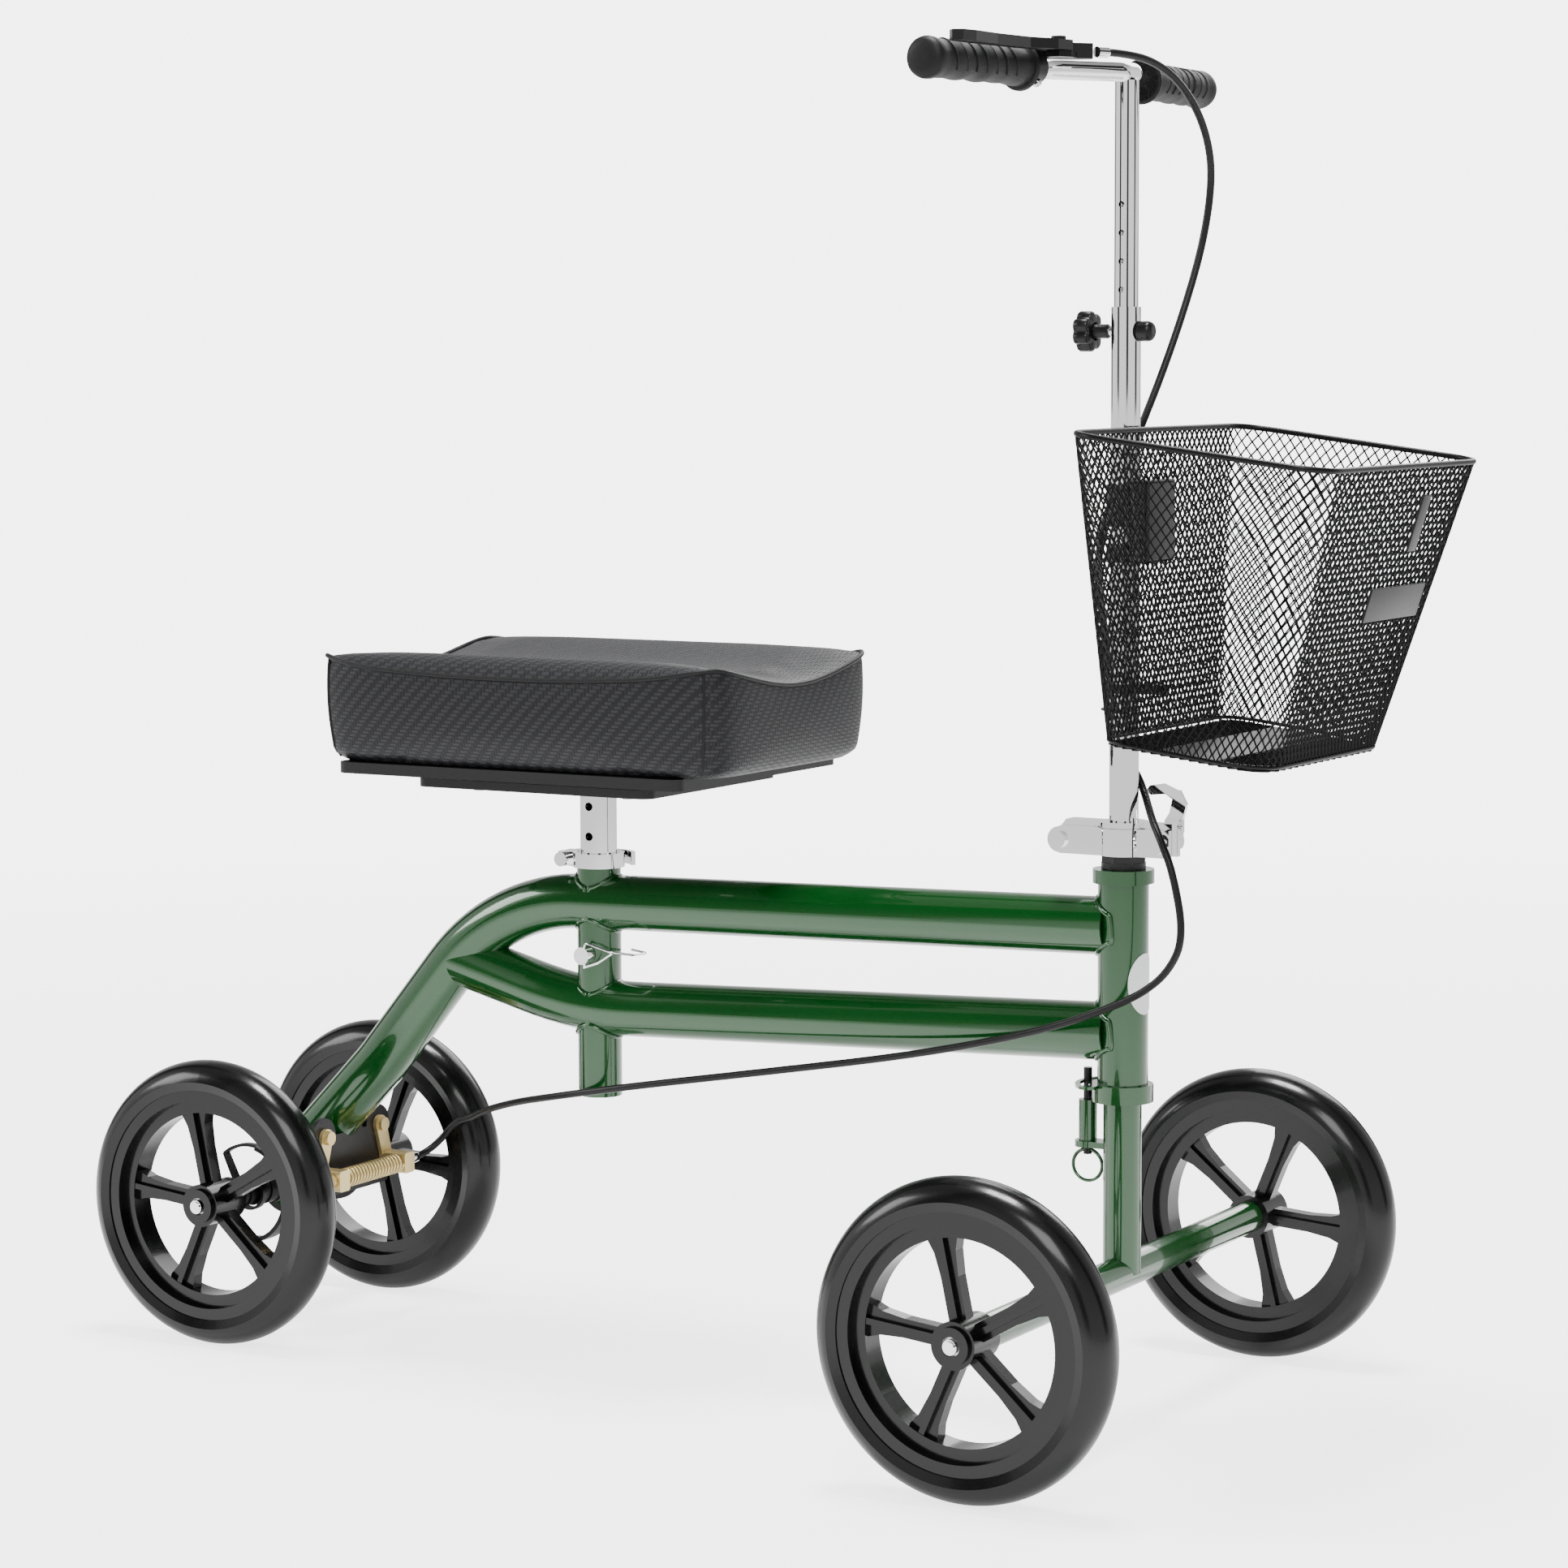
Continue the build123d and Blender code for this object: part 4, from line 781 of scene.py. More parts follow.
        for i in range(long):
            for j in range(wide):
                for k in (0, high):
                    patch((i, j, k), (i + 1, j, k), (i + 1, j + 1, k), (i, j + 1, k))
        for k in range(high):
            for i in range(long):
                for j in (0, wide):
                    patch((i, j, k), (i + 1, j, k), (i + 1, j, k + 1), (i, j, k + 1))
            for j in range(wide):
                for i in (0, long):
                    patch((i, j, k), (i, j + 1, k), (i, j + 1, k + 1), (i, j, k + 1))
        mesh.verts.index_update()
        return [
            vertex.index for (i, j, k), vertex in corners.items()
            if k == 0 or (k == high and (i in (0, long) or j in (0, wide)))
        ]

    @staticmethod
    def ease(share: float) -> float:
        """Crowd the grid towards its edges."""
        return math.sin(share * math.pi / 2) * 0.5 + share * 0.5

    def piping(self) -> None:
        """Run piping round the top edge and a seam down each corner."""
        rim = []
        for step in range(160):
            share = step / 160 * 4
            side, part = int(share), share - int(share)
            sweep = self.ease(2 * part - 1)
            x, y = ((sweep, -1), (1, sweep), (-sweep, 1), (-1, -sweep))[side]
            spot = self.form(x, y, 1.0)
            middle = Vector(((self.front + self.rear) / 2, 0, spot.z))
            rim.append(spot + (spot - middle).normalized() * 0.0002 + Vector((0, 0, 0.0008)))
        pipe = Bench.wire("pad_piping", rim, self.piping_r, closed=True, nurbs=True, steps=3)
        Bench.mount(pipe, "seat", PIPING, "pad_vinyl")
        for label, x, y in (
            ("near_front", 1, -1), ("near_rear", -1, -1), ("far_front", 1, 1), ("far_rear", -1, 1)
        ):
            track = [self.form(x, y, 0.04 + 0.95 * step / 12) for step in range(13)]
            seam = Bench.wire(f"pad_seam_{label}", track, 0.0009, nurbs=True, sides=2)
            Bench.mount(seam, "seat", PIPING, "pad_vinyl")


# ------------------------------------------------------------------ wire basket
@dataclass
class WireBasket:
    """Expanded-metal basket with a wire rim, a solid tray strip and a blank plate."""

    tilt: float = math.radians(7.3)
    rim_at: tuple[float, float] = (0.1075, 0.6395)
    floor_at: tuple[float, float] = (0.085, 0.4505)
    rim_size: tuple[float, float] = (0.172, 0.266)
    floor_size: tuple[float, float] = (0.112, 0.200)
    rim_corners: tuple[float, float] = (0.024, 0.020)
    floor_corners: tuple[float, float] = (0.030, 0.020)
    strand: float = 0.0016
    rim_wire: float = 0.0019
    cells_round: int = 110
    cells_high: int = 21

    def ring(self, share: float, height: float) -> Vector:
        """Point on the wall, a share of the way round and up.

        Args:
            share: From 0 to 1 round the outline, from the middle of the front.
            height: From 0 at the floor to 1 at the rim; below 0 it turns in under the wall.

        Returns:
            The point.
        """
        up = max(0.0, height)
        long = self.floor_size[0] + (self.rim_size[0] - self.floor_size[0]) * up
        wide = self.floor_size[1] + (self.rim_size[1] - self.floor_size[1]) * up
        front, rear = (
            low + (high - low) * up for low, high in zip(self.floor_corners, self.rim_corners)
        )
        x = self.floor_at[0] + (self.rim_at[0] - self.floor_at[0]) * up
        z = self.floor_at[1] + (self.rim_at[1] - self.floor_at[1]) * up
        lx, ly = self.outline(share, long / 2, wide / 2, front, rear)
        spot = Vector((lx, ly, 0.0))
        if height < 0:
            spot.x *= 1.0 + height
            spot.y *= 1.0 + height
        turn = Matrix.Rotation(self.tilt, 3, "Y")
        return turn @ spot + Vector((x, 0.0, z))

    @staticmethod
    def outline(
        share: float, half_l: float, half_w: float, front: float, rear: float
    ) -> tuple[float, float]:
        """Place on the rounded outline, a share of the way round it.

        Args:
            share: From 0 to 1, from the middle of the front towards +Y.
            half_l: Half its length.
            half_w: Half its width.
            front: Radius of the front corners.
            rear: Radius of the rear corners.

        Returns:
            The place along X and Y.
        """
        quarter = math.pi / 2
        way = share % 1.0
        side = -1 if way > 0.5 else 1
        way = min(way, 1.0 - way) * 2
        runs = (
            half_w - front, front * quarter, 2 * half_l - front - rear, rear * quarter,
            half_w - rear,
        )
        way *= sum(runs)
        if way <= runs[0]:
            return half_l, side * way
        way -= runs[0]
        if way <= runs[1]:
            turn = way / front
            return (
                half_l - front + front * math.cos(turn),
                side * (half_w - front + front * math.sin(turn)),
            )
        way -= runs[1]
        if way <= runs[2]:
            return half_l - front - way, side * half_w
        way -= runs[2]
        if way <= runs[3]:
            turn = way / rear
            return (
                -half_l + rear - rear * math.sin(turn),
                side * (half_w - rear + rear * math.cos(turn)),
            )
        way -= runs[3]
        return -half_l, side * max(0.0, half_w - rear - way)

    def build(self) -> None:
        """Build the basket's pieces and mount them."""
        wall = self.lattice("basket_wall_mesh", self.cells_round, self.cells_high, self.wall_place)
        Bench.mount(wall, "basket", WIRE, "basket_black")
        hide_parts("basket")
        floor = self.lattice("basket_floor_mesh", 17, 20, self.floor_place, closed=False)
        Bench.mount(floor, "basket", WIRE, "basket_black")
        for name, height, radius in (
            ("basket_rim_wire", 1.0, self.rim_wire), ("basket_floor_wire", 0.012, 0.0013),
        ):
            loop = [self.ring(step / 96, height) for step in range(96)]
            hoop = Bench.wire(name, loop, radius, closed=True, nurbs=True, sides=4, steps=3)
            Bench.mount(hoop, "basket", WIRE, "basket_black")
        self.tray()
        self.hook()
        self.plate()

    def wall_place(self, across: float, up: float) -> Vector:
        """Place of a lattice knot on the wall."""
        return self.ring(across, 0.012 + 0.985 * up)

    def floor_place(self, across: float, up: float) -> Vector:
        """Place of a lattice knot on the floor, kept inside its outline."""
        lx = (across - 0.5) * self.floor_size[0] * 0.99
        ly = (up - 0.5) * self.floor_size[1] * 0.99
        corner = self.floor_corners[0 if lx > 0 else 1]
        flat_l = self.floor_size[0] / 2 - corner
        flat_w = self.floor_size[1] / 2 - corner
        over = Vector((max(0.0, abs(lx) - flat_l), max(0.0, abs(ly) - flat_w)))
        if over.length > corner:
            over = over * (corner / over.length)
            lx = math.copysign(flat_l + over.x, lx) if abs(lx) > flat_l else lx
            ly = math.copysign(flat_w + over.y, ly) if abs(ly) > flat_w else ly
        turn = Matrix.Rotation(self.tilt, 3, "Y")
        return turn @ Vector((lx, ly, 0.0)) + Vector((self.floor_at[0], 0.0, self.floor_at[1]))

    def lattice(
        self, name: str, around: int, high: int, place: Callable[[float, float], Vector],
        closed: bool = True,
    ) -> bpy.types.Object:
        """Weave a diamond lattice: knots in staggered rows, then strands from its edges.

        Args:
            name: The piece's name.
            around: Diamonds across.
            high: Diamonds up.
            place: Gives a knot's point from its shares across and up.
            closed: Whether the first column meets the last.

        Returns:
            The lattice as strands.
        """
        Bench.clear()
        bpy.ops.mesh.primitive_plane_add(size=1.0)
        piece = bpy.context.object
        piece.name = name
        mesh = bmesh.new()
        knots: dict[tuple[int, int], bmesh.types.BMVert] = {}

        def knot(column: int, row: int) -> bmesh.types.BMVert:
            """Return the knot at a half-cell place, made on first use."""
            key = (column % (2 * around) if closed else column, row)
            if key not in knots:
                knots[key] = mesh.verts.new(place(key[0] / (2 * around), row / (2 * high)))
            return knots[key]

        for row in range(0, 2 * high - 1):
            for column in range(row % 2, 2 * around - (0 if closed else 1), 2):
                quad = [
                    knot(column, row + 1), knot(column + 1, row), knot(column + 2, row + 1),
                    knot(column + 1, row + 2),
                ]
                if closed or column + 2 <= 2 * around:
                    mesh.faces.new(quad)
        mesh.to_mesh(piece.data)
        mesh.free()
        Bench.take(piece)
        strands = piece.modifiers.new("strands", "WIREFRAME")
        strands.thickness = self.strand
        strands.use_even_offset = False
        strands.use_boundary = True
        strands.use_replace = True
        bpy.ops.object.modifier_apply(modifier=strands.name)
        bpy.ops.object.shade_smooth_by_angle(angle=math.radians(50))
        return piece

    def tray(self) -> None:
        """Make the solid strip pressed along the middle of the floor."""
        low = (-self.floor_size[0] / 2 + 0.036, -self.floor_size[1] / 2 + 0.008, 0.0006)
        high = (self.floor_size[0] / 2 - 0.036, self.floor_size[1] / 2 - 0.008, 0.0016)
        strip = Bench.block("basket_tray_strip", low, high, 0.0006)
        turn = Matrix.Rotation(self.tilt, 4, "Y")
        shift = Matrix.Translation((self.floor_at[0], 0.0, self.floor_at[1]))
        strip.data.transform(shift @ turn)
        Bench.mount(strip, "basket", ENAMEL, "basket_black")

    def hook(self) -> None:
        """Make the moulded hook plate on the back, which slides over the bracket."""
        _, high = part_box("basket_brackets")
        half, base, front = 0.0198, high.z - 0.048, 0.0263
        parts = [
            Bench.block("hook_face", (0.0223, -half, base), (front, half, high.z + 0.003), 0.001),
            Bench.block(
                "hook_top", (0.0150, -half, high.z + 0.0004), (front, half, high.z + 0.0034), 0.001
            ),
        ]
        for side in (-1, 1):
            rail_y = sorted((side * 0.0169, side * half))
            parts.append(Bench.block(
                "hook_rail", (0.0145, rail_y[0], base), (0.0250, rail_y[1], high.z + 0.003), 0.0008
            ))
        hook = Bench.join("basket_hook_plate", parts)
        Bench.mount(hook, "basket", PLAQUE, "basket_black")

    def plate(self) -> None:
        """Make the blank plate and the dark strip on the front wall."""
        for name, share, height, wide, tall in (
            ("basket_plate", 0.049, 0.535, 0.088, 0.022),
            ("basket_clip", 0.052, 0.805, 0.013, 0.037),
        ):
            middle = self.ring(share, height)
            east = (self.ring(share + 0.01, height) - self.ring(share - 0.01, height)).normalized()
            north = (self.ring(share, height + 0.05) - self.ring(share, height - 0.05)).normalized()
            out = east.cross(north).normalized()
            sheet = Bench.block(
                name, (-wide / 2, -tall / 2, -0.0006), (wide / 2, tall / 2, 0.0012), 0.0005
            )
            bend = Matrix((east, north, out)).transposed().to_4x4()
            sheet.data.transform(Matrix.Translation(middle + out * 0.0014) @ bend)
            Bench.mount(sheet, "basket", PLAQUE, "basket_black")


# ------------------------------------------------------------------ handlebar trim
@dataclass
class HandGrips:
    """Soft grips with a palm lobe, crescent finger ribs and a rounded end."""

    elbow: tuple[float, float] = (-0.0294, 0.060)
    end: tuple[float, float] = (-0.040, 0.198)
    level: float = 0.876
    start: float = 0.0862
    radius: float = 0.0122

    def axis(self, side: int) -> tuple[Vector, Vector]:
        """Start point and direction of a grip.

        Args:
            side: 1 on the left, -1 on the right.

        Returns:
            The point on the bar's centre line where the grip starts, and its direction.
        """
        inner = Vector((self.elbow[0], side * self.elbow[1], self.level))
        outer = Vector((self.end[0], side * self.end[1], self.level))
        way = (outer - inner).normalized()
        return inner + way * ((self.start - self.elbow[1]) / abs(way.y)), way

    def build(self) -> None:
        """Build both grips and mount them."""
        for side, label in ((-1, "right"), (1, "left")):
            grip = self.body(side, label)
            ribs = [self.rib(side, turn) for turn in range(7)]
            flange = self.flange(side)
            whole = Bench.join(f"hand_grip_{label}", [grip, flange, *ribs])
            Bench.mount(whole, "handlebar", RUBBER, "black_rubber")
            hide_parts(f"grip_{label}")

    def body(self, side: int, label: str) -> bpy.types.Object:
        """Draw one grip out along its bar, waved underneath."""
        r = self.radius
        stations = [(0.0, 0.0066), (0.0, r + 0.0006), (0.004, r + 0.0012), (0.008, r)]
        for step in range(1, 40):
            reach = 0.008 + step * 0.0024
            stations.append((reach, r + 0.0003 * math.sin(step * 0.45)))
        stations += [
            (0.1062, r + 0.0006), (0.1100, r + 0.0008), (0.1125, r + 0.0002), (0.1142, r - 0.0018),
            (0.1150, r - 0.0050), (0.1152, 0.0030),
        ]
        grip = Bench.drawn(f"grip_body_{label}", stations, sides=48, angle=40.0)
        at, way = self.axis(side)
        Bench.lay(grip, at, way)
        for vertex in grip.data.vertices:
            reach = (vertex.co - at).dot(way)
            below = self.level - vertex.co.z
            if below > 0.004 and 0.014 < reach < 0.102:
                vertex.co.z += 0.0004 * (1 + math.cos(reach * 2 * math.pi / 0.022)) * below / 0.0122
        return grip

    def rib(self, side: int, turn: int) -> bpy.types.Object:
        """Bend one crescent rib over the front and top of the grip."""
        at, way = self.axis(side)
        front = Vector((0, 0, 1)).cross(way) * (1 if side < 0 else -1)
        front = front.normalized() if front.x > 0 else -front.normalized()
        spot = 0.022 + turn * 0.0115
        track = []
        for step in range(13):
            angle = math.radians(-35 + step * 12.5)
            bow = 0.0045 * math.sin(math.pi * step / 12)
            rise = self.radius * (math.cos(angle) * front + math.sin(angle) * Vector((0, 0, 1)))
            track.append(at + way * (spot + bow) + rise)
        return Bench.wire(f"grip_rib_{turn}", track, 0.0007, nurbs=True, sides=2, steps=2)

    def flange(self, side: int) -> bpy.types.Object:
        """Make the low flange at the grip's inner end, thick towards the palm."""
        r = self.radius
        ring = [(0.0, r - 0.002), (0.0, r + 0.0012), (0.0012, r + 0.0022), (0.0032, r + 0.0021),
                (0.0046, r + 0.0016), (0.0056, r - 0.001)]
        flange = Bench.drawn("grip_flange", ring, sides=48)
        for vertex in flange.data.vertices:
            if vertex.co.y < 0:
                vertex.co.y *= 1.06
        at, way = self.axis(side)
        return Bench.lay(flange, at, way)


# ------------------------------------------------------------------ brake cable
@dataclass
class Length:
    """One length of cable housing: its route, the bodies it spans and where it bends."""

    node: str
    points: tuple[Point, ...]
    bodies: tuple[str, str]
    start: Point
    end: Point


@dataclass
class BrakeCable:
    """Housing from the lever to the rear brake, with its ties."""

    radius: float = 0.0025
    upper: tuple[Point, ...] = (
        (8.6, -46.5, 885.5), (13.8, -34, 885.5), (23, -11, 882), (30, 12, 871), (34, 36, 851),
        (34.5, 53, 826), (31, 61, 800), (26, 58, 765), (19.5, 45, 725), (12, 27, 683),
        (3, 15.2, 650), (-7, 14.4, 625), (-14.6, 9, 603), (-18, 1.5, 582), (-19, -1, 556),
        (-16, 0, 530), (-12.7, 2.5, 507), (-12.6, 3.2, 478), (-12.4, 6.2, 455),
        (-7.5, 12.6, 441), (2, 14.2, 428.5), (10.5, 9, 416), (17, 0, 409.5),
    )
    fold: tuple[Point, ...] = (
        (17, 0, 409.5), (24.6, -10.5, 401.9), (35.8, -21, 389.5), (46.5, -25, 370), (51, -26, 350),
    )
    lower: tuple[Point, ...] = (
        (51, -26, 350), (55.7, -27, 329), (46, -30, 306), (26, -30.5, 290), (-2, -29.5, 277.5),
        (-32, -27.8, 266), (-70, -26.5, 254.5), (-119, -26.8, 242.6), (-170, -26.4, 232),
        (-222, -26.8, 222.6), (-281, -26.4, 212), (-336, -26.2, 202.3), (-388, -25, 192.5),
        (-432, -16, 183), (-476, 3, 172.5), (-520, 30, 158.5), (-548, 53, 147),
        (-566, 66.5, 142), (-580.5, 76, 134), (-591, 76.5, 122.5), (-598, 67, 114),
        (-600, 51.3, 112),
    )

    def lengths(self) -> list[Length]:
        """The three lengths of housing, in metres."""
        return [
            Length("cable_upper", self.metres(self.upper), ("handlebar", "column"),
                   (0.034, 0.054, 0.830), (0.010, 0.022, 0.670)),
            Length("cable_fold", self.metres(self.fold), ("column", "fork"),
                   (0.019, -0.003, 0.408), (0.049, -0.0255, 0.356)),
            Length("cable_lower", self.metres(self.lower), ("fork", "frame"),
                   (0.051, -0.026, 0.350), (-0.119, -0.0268, 0.2426)),
        ]

    @staticmethod
    def metres(points: tuple[Point, ...]) -> tuple[Point, ...]:
        """Turn points in millimetres into metres."""
        return tuple(tuple(MM * value for value in point) for point in points)

    def route(self, part: Length, thick: float) -> bpy.types.Object:
        """Draw a length's route as one smooth spline.

        Args:
            part: The length of housing.
            thick: Radius of the tube drawn on it, or 0 for the bare line.

        Returns:
            The route, as a curve.
        """
        curve = bpy.data.curves.new(part.node + "_route", "CURVE")
        curve.dimensions = "3D"
        line = curve.splines.new("NURBS")
        line.points.add(len(part.points) - 1)
        for knot, place in zip(line.points, part.points):
            knot.co = (*place, 1.0)
        line.order_u = 3
        line.use_endpoint_u = True
        line.resolution_u = 8
        curve.bevel_depth = thick
        curve.bevel_resolution = 5
        curve.use_fill_caps = thick > 0
        made = bpy.data.objects.new(part.node + "_housing", curve)
        bpy.context.scene.collection.objects.link(made)
        return made

    def track(self, part: Length) -> list[Vector]:
        """Read a route's centre line from its spline."""
        bare = self.route(part, 0.0)
        mesh = bpy.data.meshes.new_from_object(bare)
        points = [vertex.co.copy() for vertex in mesh.vertices]
        bpy.data.meshes.remove(mesh)
        bpy.data.objects.remove(bare)
        return points

    def build(self) -> None:
        """Build the three lengths with their ties, and mount the ties."""
        for part in self.lengths():
            line = self.track(part)
            tube = self.route(part, self.radius)
            Bench.take(tube)
            bpy.ops.object.convert(target="MESH")
            tube = Bench.tidy(bpy.context.object, 60.0)
            tube.name = part.node + "_housing"
            HOUSING.dress(tube)
            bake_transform(tube)
            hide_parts(part.node)
            log.info("%s between %s", tube.name, part.bodies)
            self.ties(part, line)

    def ties(self, part: Length, line: list[Vector]) -> None:
        """Put the ties of one length round the cable and what it is tied to."""
        if part.node != "cable_upper":
            return
        for name, height in (("column_tie_upper", 0.520), ("column_tie_lower", 0.470)):
            near = min(line, key=lambda spot: abs(spot.z - height))
            middle = Vector((near.x * 0.235, near.y * 0.235, height))
            away = Vector((near.x, near.y, 0)).normalized()
            flat = Vector((-away.y, away.x, 0))
            loop = []
            for step in range(40):
                turn = 2 * math.pi * step / 40
                loop.append(
                    middle + away * (0.0134 * math.cos(turn)) + flat * (0.0106 * math.sin(turn))
                )
            tie = Bench.wire(name, loop, 0.0009, closed=True, nurbs=True, sides=2, steps=3)
            Bench.mount(tie, "column", MOULDED, "black_plastic")


# ------------------------------------------------------------------ brake trim
@dataclass
class BrakeTrim:
    """Coil spring of the rear brake and the ferrule at the cable's end."""

    rod: tuple[float, float] = (-0.600, 0.112)
    half: float = 0.0335
    coil_r: float = 0.0062
    wire_r: float = 0.00105
    turns: int = 18

    def build(self) -> None:
        """Build the brake's small pieces and mount them."""
        track = []
        steps = 14
        for step in range(self.turns * steps + 1):
            turn = 2 * math.pi * step / steps
            share = step / (self.turns * steps)
            track.append((
                self.rod[0] + self.coil_r * math.cos(turn),
                self.half * (2 * share - 1),
                self.rod[1] + self.coil_r * math.sin(turn),
            ))
        coil = Bench.wire("brake_coil", track, self.wire_r, sides=2)
        Bench.mount(coil, "frame", ZINC, "yellow_zinc")
        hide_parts("brake_spring")
        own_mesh(coil)
        ferrule = Bench.drawn(
            "cable_ferrule",
            [(0.0, 0.0030), (0.0, 0.0036), (0.006, 0.0036), (0.0075, 0.0031), (0.0075, 0.0026)],
        )
        Bench.lay(ferrule, (self.rod[0], 0.0512, self.rod[1]), (0.1, 0.99, 0.1))
        Bench.mount(ferrule, "frame", CHROME, "bright")


# ------------------------------------------------------------------ small fittings
@dataclass
class Fittings:
    """Height knob, pull ring and screw heads."""

    heads: list[tuple[str, Point, Point, float, float, str]] = field(default_factory=lambda: [
        ("bracket_screw_upper", (0.0220, 0.0, 0.603), (1, 0, 0), 0.0036, 0.0024, "column"),
        ("bracket_screw_lower", (0.0220, 0.0, 0.577), (1, 0, 0), 0.0036, 0.0024, "column"),
        ("perch_screw", (-0.0255, -0.077, 0.8667), (0.4, 0, -1), 0.0030, 0.0026, "handlebar"),
    ])

    def build(self) -> None:
        """Build the fittings and mount them."""
        loop = [
            (-0.025 + 0.0105 * math.sin(turn), 0.0, 0.1705 + 0.0105 * math.cos(turn))
            for turn in (2 * math.pi * step / 48 for step in range(48))
        ]
        self.knob()
        ring = Bench.wire("pull_ring", loop, 0.00115, closed=True, sides=3)
        Bench.mount(ring, "plunger", GREEN, "green_ring")
        for name, at, along, radius, high, body in self.heads:
            head = Bench.screw(name, at, along, radius, high)
            Bench.mount(head, body, CHROME, "bright")
        low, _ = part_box("seat_plates")
        spots = ((-0.46, -0.06), (-0.34, -0.06), (-0.46, 0.06), (-0.34, 0.06))
        for index, (x, y) in enumerate(spots):
            foot = (x, y, low.z + 0.0002)
            bolt = Bench.screw(f"plate_bolt_{index}", foot, (0, 0, -1), 0.0055, 0.0035)
            Bench.mount(bolt, "seat", SATIN, "black_steel")

    def knob(self) -> None:
        """Make the lobed knob that clamps the handlebar's height, with its hub and screw."""
        low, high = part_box("height_knob")
        radius, lobes, waist = 0.0131, 7, 0.17
        ring = [
            (0.0, 0.006), (0.0, radius - 0.0025), (0.0008, radius - 0.0008), (0.002, radius),
            (0.0095, radius), (0.0108, radius - 0.0008), (0.0115, radius - 0.0025),
            (0.0115, 0.006), (0.0095, 0.0052),
        ]
        body = Bench.drawn("knob_body", ring, sides=112, angle=50.0)
        for vertex in body.data.vertices:
            reach = math.hypot(vertex.co.x, vertex.co.y)
            if reach > 0.007:
                wave = 0.5 - 0.5 * math.cos(lobes * math.atan2(vertex.co.y, vertex.co.x))
                vertex.co.x *= 1 - waist * wave**2
                vertex.co.y *= 1 - waist * wave**2
        hub = Bench.drawn(
            "knob_hub", [(0.0085, 0.0055), (0.016, 0.0046), (0.0205, 0.0046), (0.0215, 0.0035)]
        )
        rod = Bench.drawn("knob_screw", [(0.0205, 0.0028), (0.0260, 0.0028)], sides=20)
        middle = (low.y + high.y) / 2, (low.z + high.z) / 2
        for piece, finish in ((body, MOULDED), (hub, MOULDED), (rod, CHROME)):
            Bench.lay(piece, (low.x, *middle), (1, 0, 0))
            Bench.mount(piece, "knob", finish, "black_plastic")
        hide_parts("height_knob")


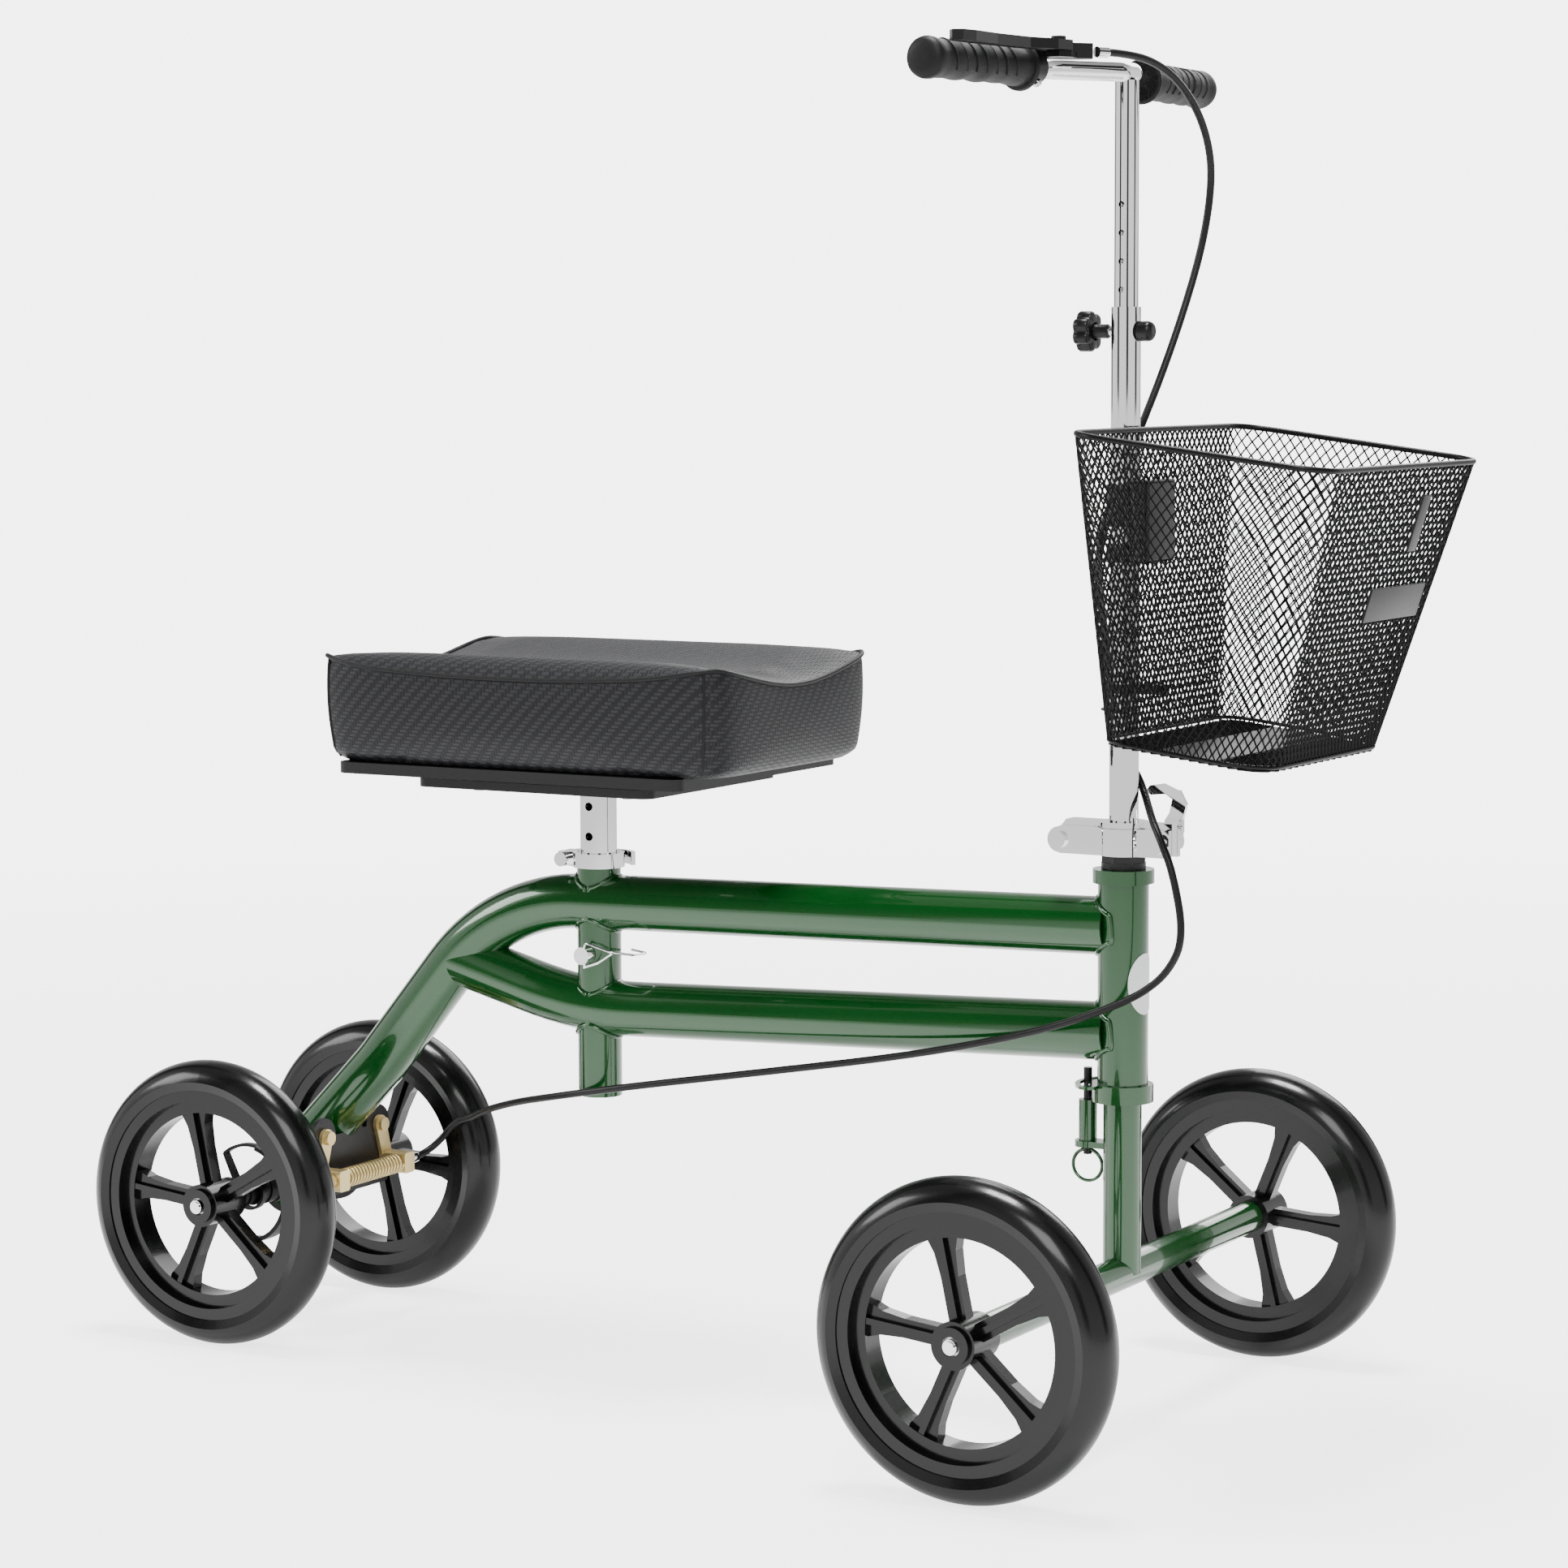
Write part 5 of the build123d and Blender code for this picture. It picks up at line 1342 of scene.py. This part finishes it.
# ------------------------------------------------------------------ studio
@dataclass
class Studio:
    """Pale floor, soft light and the camera."""

    eye: Point = (1.1804, -2.4792, 0.7046)
    aim: Point = (-0.2389, 0.0, 0.4195)
    lens: float = 97.93
    shift: tuple[float, float] = (-0.0119, -0.0087)
    roll: float = math.radians(-0.17)
    floor_half: float = 40.0
    floor_glow: float = 2.7
    backdrop: float = 5.4
    spill: float = 0.2
    wall: float = 1.1
    dark: float = 0.05
    flags: float = 5.0

    def camera(self) -> None:
        """Set the camera."""
        data = bpy.data.cameras.new("camera")
        camera = bpy.data.objects.new("camera", data)
        bpy.context.scene.collection.objects.link(camera)
        camera.location = self.eye
        look = (Vector(self.aim) - Vector(self.eye)).to_track_quat("-Z", "Y").to_matrix().to_4x4()
        camera.rotation_euler = (look @ Matrix.Rotation(self.roll, 4, "Z")).to_euler()
        data.lens = self.lens
        data.sensor_width = 36.0
        data.shift_x, data.shift_y = self.shift
        data.clip_end = 200.0
        bpy.context.scene.camera = camera

    def light(self, name: str, at: Point, size: float, power: float) -> None:
        """Hang one square soft light that faces the scooter.

        Args:
            name: The light's name.
            at: Its place.
            size: Its side.
            power: Its power in watts.
        """
        data = bpy.data.lights.new(name, "AREA")
        data.size = size
        data.energy = power
        lamp = bpy.data.objects.new(name, data)
        bpy.context.scene.collection.objects.link(lamp)
        lamp.location = at
        way = Vector((-0.3, 0, 0.4)) - Vector(at)
        lamp.rotation_euler = way.to_track_quat("-Z", "Y").to_euler()

    def build(self) -> None:
        """Build the floor, the world and the lights."""
        Bench.clear()
        bpy.ops.mesh.primitive_plane_add(size=2 * self.floor_half, location=(0, 0, -0.0005))
        floor = bpy.context.object
        floor.name = "floor"
        pale = bpy.data.materials.new("pale_floor")
        pale.use_nodes = True
        shader = pale.node_tree.nodes["Principled BSDF"]
        shader.inputs["Base Color"].default_value = (0.80, 0.80, 0.80, 1)
        shader.inputs["Roughness"].default_value = 1.0
        shader.inputs["Specular IOR Level"].default_value = 0.0
        self.fade(pale.node_tree, shader)
        floor.data.materials.append(pale)
        world = bpy.data.worlds.new("studio")
        bpy.context.scene.world = world
        world.use_nodes = True
        self.sky(world.node_tree)
        self.light("key", (1.6, -3.0, 3.2), 2.0, 110)
        self.light("side", (-3.4, -1.6, 2.0), 1.4, 55)
        self.light("back", (-0.6, 3.4, 2.6), 2.4, 90)
        self.light("top", (-0.2, 0.0, 3.6), 1.0, 190)

    def fade(self, tree: bpy.types.NodeTree, shader: bpy.types.Node) -> None:
        """Let the floor glow, and fade into the backdrop far from the scooter.

        Args:
            tree: The floor material's node tree.
            shader: Its principled shader.
        """
        graph = Graph(tree)
        seen = graph.add("LightPath").outputs["Is Camera Ray"]
        glows = []
        for strength in (self.floor_glow, self.backdrop):
            level = graph.add("MapRange", {
                "To Min": strength * self.spill, "To Max": strength, "Value": seen,
            })
            glow = graph.add("Emission", {"Strength": level.outputs["Result"]})
            glows.append(glow.outputs["Emission"])
        place = graph.add("TexCoord").outputs["Object"]
        reach = graph.add("VectorMath", {0: place}, operation="LENGTH")
        share = graph.add(
            "MapRange", {"From Min": 1.0, "From Max": 3.6, "Value": reach.outputs["Value"]},
            interpolation_type="SMOOTHSTEP",
        )
        lit = graph.add("AddShader", {0: shader.outputs["BSDF"], 1: glows[0]})
        mixed = graph.add(
            "MixShader", {0: share.outputs["Result"], 1: lit.outputs[0], 2: glows[1]}
        )
        graph.feed(tree.nodes["Material Output"], {"Surface": mixed.outputs[0]})

    def sky(self, tree: bpy.types.NodeTree) -> None:
        """Paint the studio round the scooter: white walls with dark flags between them.

        Args:
            tree: The world's node tree.
        """
        graph = Graph(tree)
        split = graph.add("SeparateXYZ", {"Vector": graph.add("TexCoord").outputs["Generated"]})
        heading = graph.math("ARCTAN2", split.outputs["Y"], split.outputs["X"])
        sine = graph.math("SINE", graph.math("MULTIPLY", heading, self.flags))
        flag = graph.add("MapRange", {
            "From Min": 0.72, "From Max": 0.80, "To Min": self.wall, "To Max": self.dark,
            "Value": sine,
        })
        rise = graph.add("MapRange", {
            "From Min": 0.15, "From Max": 0.75, "To Min": 1.0, "To Max": 0.35,
            "Value": split.outputs["Z"],
        })
        shaded = graph.math("MULTIPLY", flag.outputs["Result"], rise.outputs["Result"])
        ray = graph.add("LightPath").outputs["Is Camera Ray"]
        seen = graph.add("Mix", {0: ray, 2: shaded, 3: self.backdrop})
        graph.feed(tree.nodes["Background"], {
            "Strength": seen.outputs[0], "Color": (1.0, 1.0, 1.0, 1),
        })


def main(frame: dict) -> None:
    """Build and dress every sub-assembly.
    """
    Studio().camera()
    Bench.clear()
    Hardware().dress(frame["nodes"])
    for part in (
        BrakeCable(), FrameTrim(), KneePad(), WireBasket(), HandGrips(), BrakeTrim(), Fittings(),
        Studio(),
    ):
        log.info("building %s", type(part).__name__)
        part.build()


if __name__ == "__main__":
    logging.basicConfig(level=logging.INFO, format="%(name)s: %(message)s")
    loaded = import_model()
    main(loaded)
